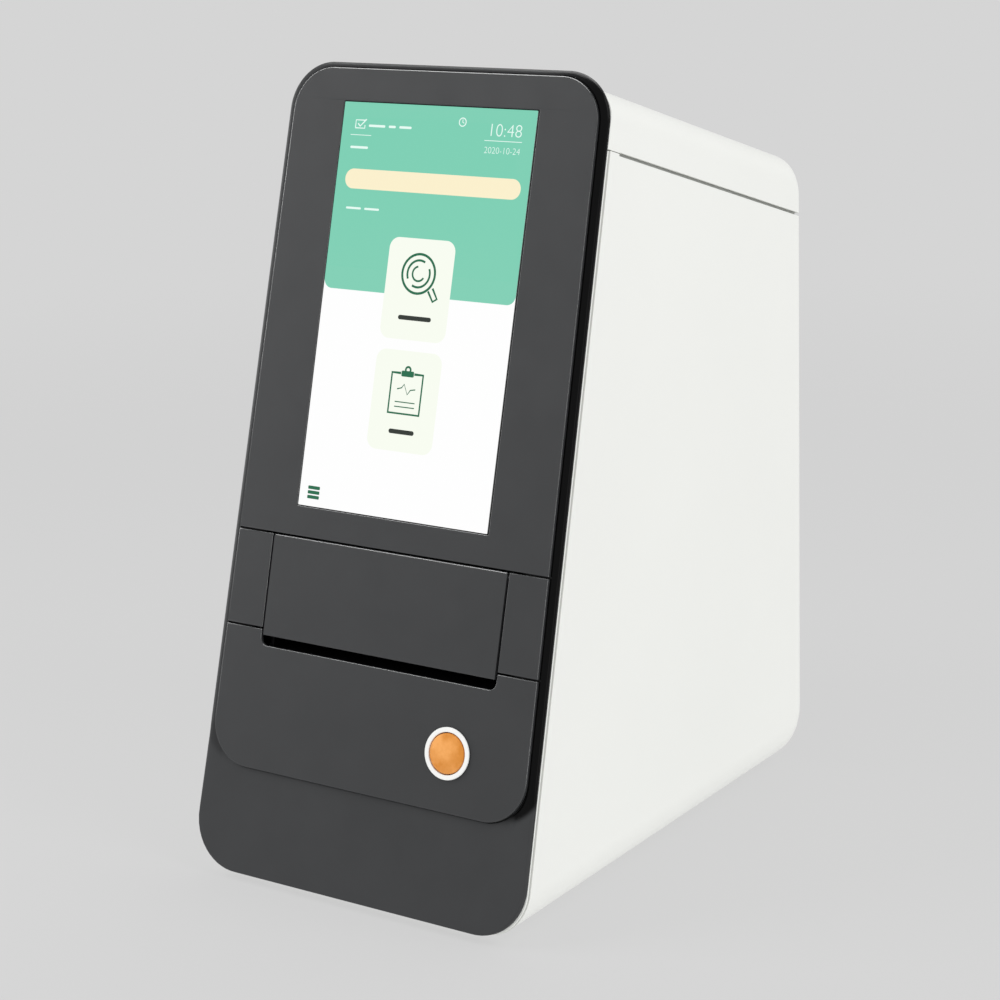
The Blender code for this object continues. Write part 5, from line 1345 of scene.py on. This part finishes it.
world = bpy.data.worlds.new("studio")
bpy.context.scene.world = world
world.use_nodes = True
tree = world.node_tree
tree.nodes.clear()
rays = tree.nodes.new("ShaderNodeLightPath")
seen = tree.nodes.new("ShaderNodeMath")
seen.operation = "ADD"
seen.use_clamp = True
also = tree.nodes.new("ShaderNodeMath")
also.operation = "ADD"
also.use_clamp = True
tree.links.new(rays.outputs["Is Camera Ray"], seen.inputs[0])
tree.links.new(rays.outputs["Is Glossy Ray"], seen.inputs[1])
tree.links.new(seen.outputs["Value"], also.inputs[0])
tree.links.new(rays.outputs["Is Transmission Ray"], also.inputs[1])
lighting = tree.nodes.new("ShaderNodeBackground")
lighting.inputs["Color"].default_value = (1, 1, 1, 1)
lighting.inputs["Strength"].default_value = sky_light
backdrop = tree.nodes.new("ShaderNodeBackground")
backdrop.inputs["Color"].default_value = (*pale, 1)
backdrop.inputs["Strength"].default_value = 1.0
pick = tree.nodes.new("ShaderNodeMixShader")
result = tree.nodes.new("ShaderNodeOutputWorld")
tree.links.new(also.outputs["Value"], pick.inputs["Fac"])
tree.links.new(lighting.outputs["Background"], pick.inputs[1])
tree.links.new(backdrop.outputs["Background"], pick.inputs[2])
tree.links.new(pick.outputs["Shader"], result.inputs["Surface"])


def softbox(name, place, aim, width, height, watts):
    """A flat lamp, hidden from the camera, that looks at one point of the instrument."""
    lamp = bpy.data.lights.new(name, "AREA")
    lamp.shape = "RECTANGLE"
    lamp.size, lamp.size_y = width, height
    lamp.energy = watts
    light = bpy.data.objects.new(name, lamp)
    light.location = place
    light.rotation_mode = "QUATERNION"
    light.rotation_quaternion = (Vector(aim) - Vector(place)).to_track_quat("-Z", "Y")
    light.visible_camera = False
    bpy.context.scene.collection.objects.link(light)
    return light


key_light = softbox("key_light", (-0.42, -0.43, 0.50), (0, -0.07, 0.17), 0.4, 0.4, key_watts)
key_light.visible_glossy = False
softbox("fill_light", (1.0, 0.05, 0.95), (0, 0, 0.17), 0.8, 0.8, fill_watts)


def accent(name, place, aim, width, height, watts, pieces):
    """A lamp that draws highlights on some dark pieces without lighting anything."""
    light = softbox(name, place, aim, width, height, watts)
    light.visible_diffuse = False
    receivers = bpy.data.collections.new(name + "_pieces")
    for piece in pieces:
        receivers.objects.link(bpy.data.objects[piece])
    light.light_linking.receiver_collection = receivers


plates = ("surround", "side_strip_left", "side_strip_right", "lower_field", "door_flap")
accent("top_light", (-0.2, 0.12, 1.17), (-0.05, 0.0, 0.3), 1.4, 0.8, 28.0, (*plates, "bezel"))
accent("side_light", (-1.08, -0.23, 0.2), (-0.07, -0.05, 0.2), 0.75, 0.75, 5.5, (*plates, "bezel"))
accent("seam_light", (-0.55, -0.29, 0.95), (0, -0.08, 0.2), 0.15, 0.5, 2.5, plates)
accent("edge_light", (-0.95, 0.3, 0.45), (-0.07, -0.05, 0.25), 0.8, 1.0, 16.0, plates)
accent("corner_light", (0.85, -0.55, 0.25), (0.06, -0.08, 0.2), 0.3, 0.5, 3.6, plates)
accent("rim_light", (0.85, -0.55, 0.25), (0.07, -0.08, 0.2), 0.3, 0.5, 0.6, ("bezel",))

yaw, pitch, roll = radians(-33.3113), radians(14.7118), radians(-0.9979)
forward = Vector((sin(yaw) * cos(pitch), cos(yaw) * cos(pitch), -sin(pitch)))
level_right = Vector((cos(yaw), -sin(yaw), 0))
level_up = level_right.cross(forward)
right = level_right * cos(roll) + level_up * sin(roll)
up = level_up * cos(roll) - level_right * sin(roll)
lens = bpy.data.cameras.new("camera")
lens.sensor_width = 36
lens.lens = 89.018
lens.clip_start, lens.clip_end = 0.01, 50
camera = bpy.data.objects.new("camera", lens)
camera.matrix_world = Matrix(
    (
        (right.x, up.x, -forward.x, 0.52014),
        (right.y, up.y, -forward.y, -0.79873),
        (right.z, up.z, -forward.z, 0.38268),
        (0, 0, 0, 1),
    )
)
bpy.context.scene.collection.objects.link(camera)
bpy.context.scene.camera = camera
bpy.context.scene.view_settings.view_transform = "Standard"
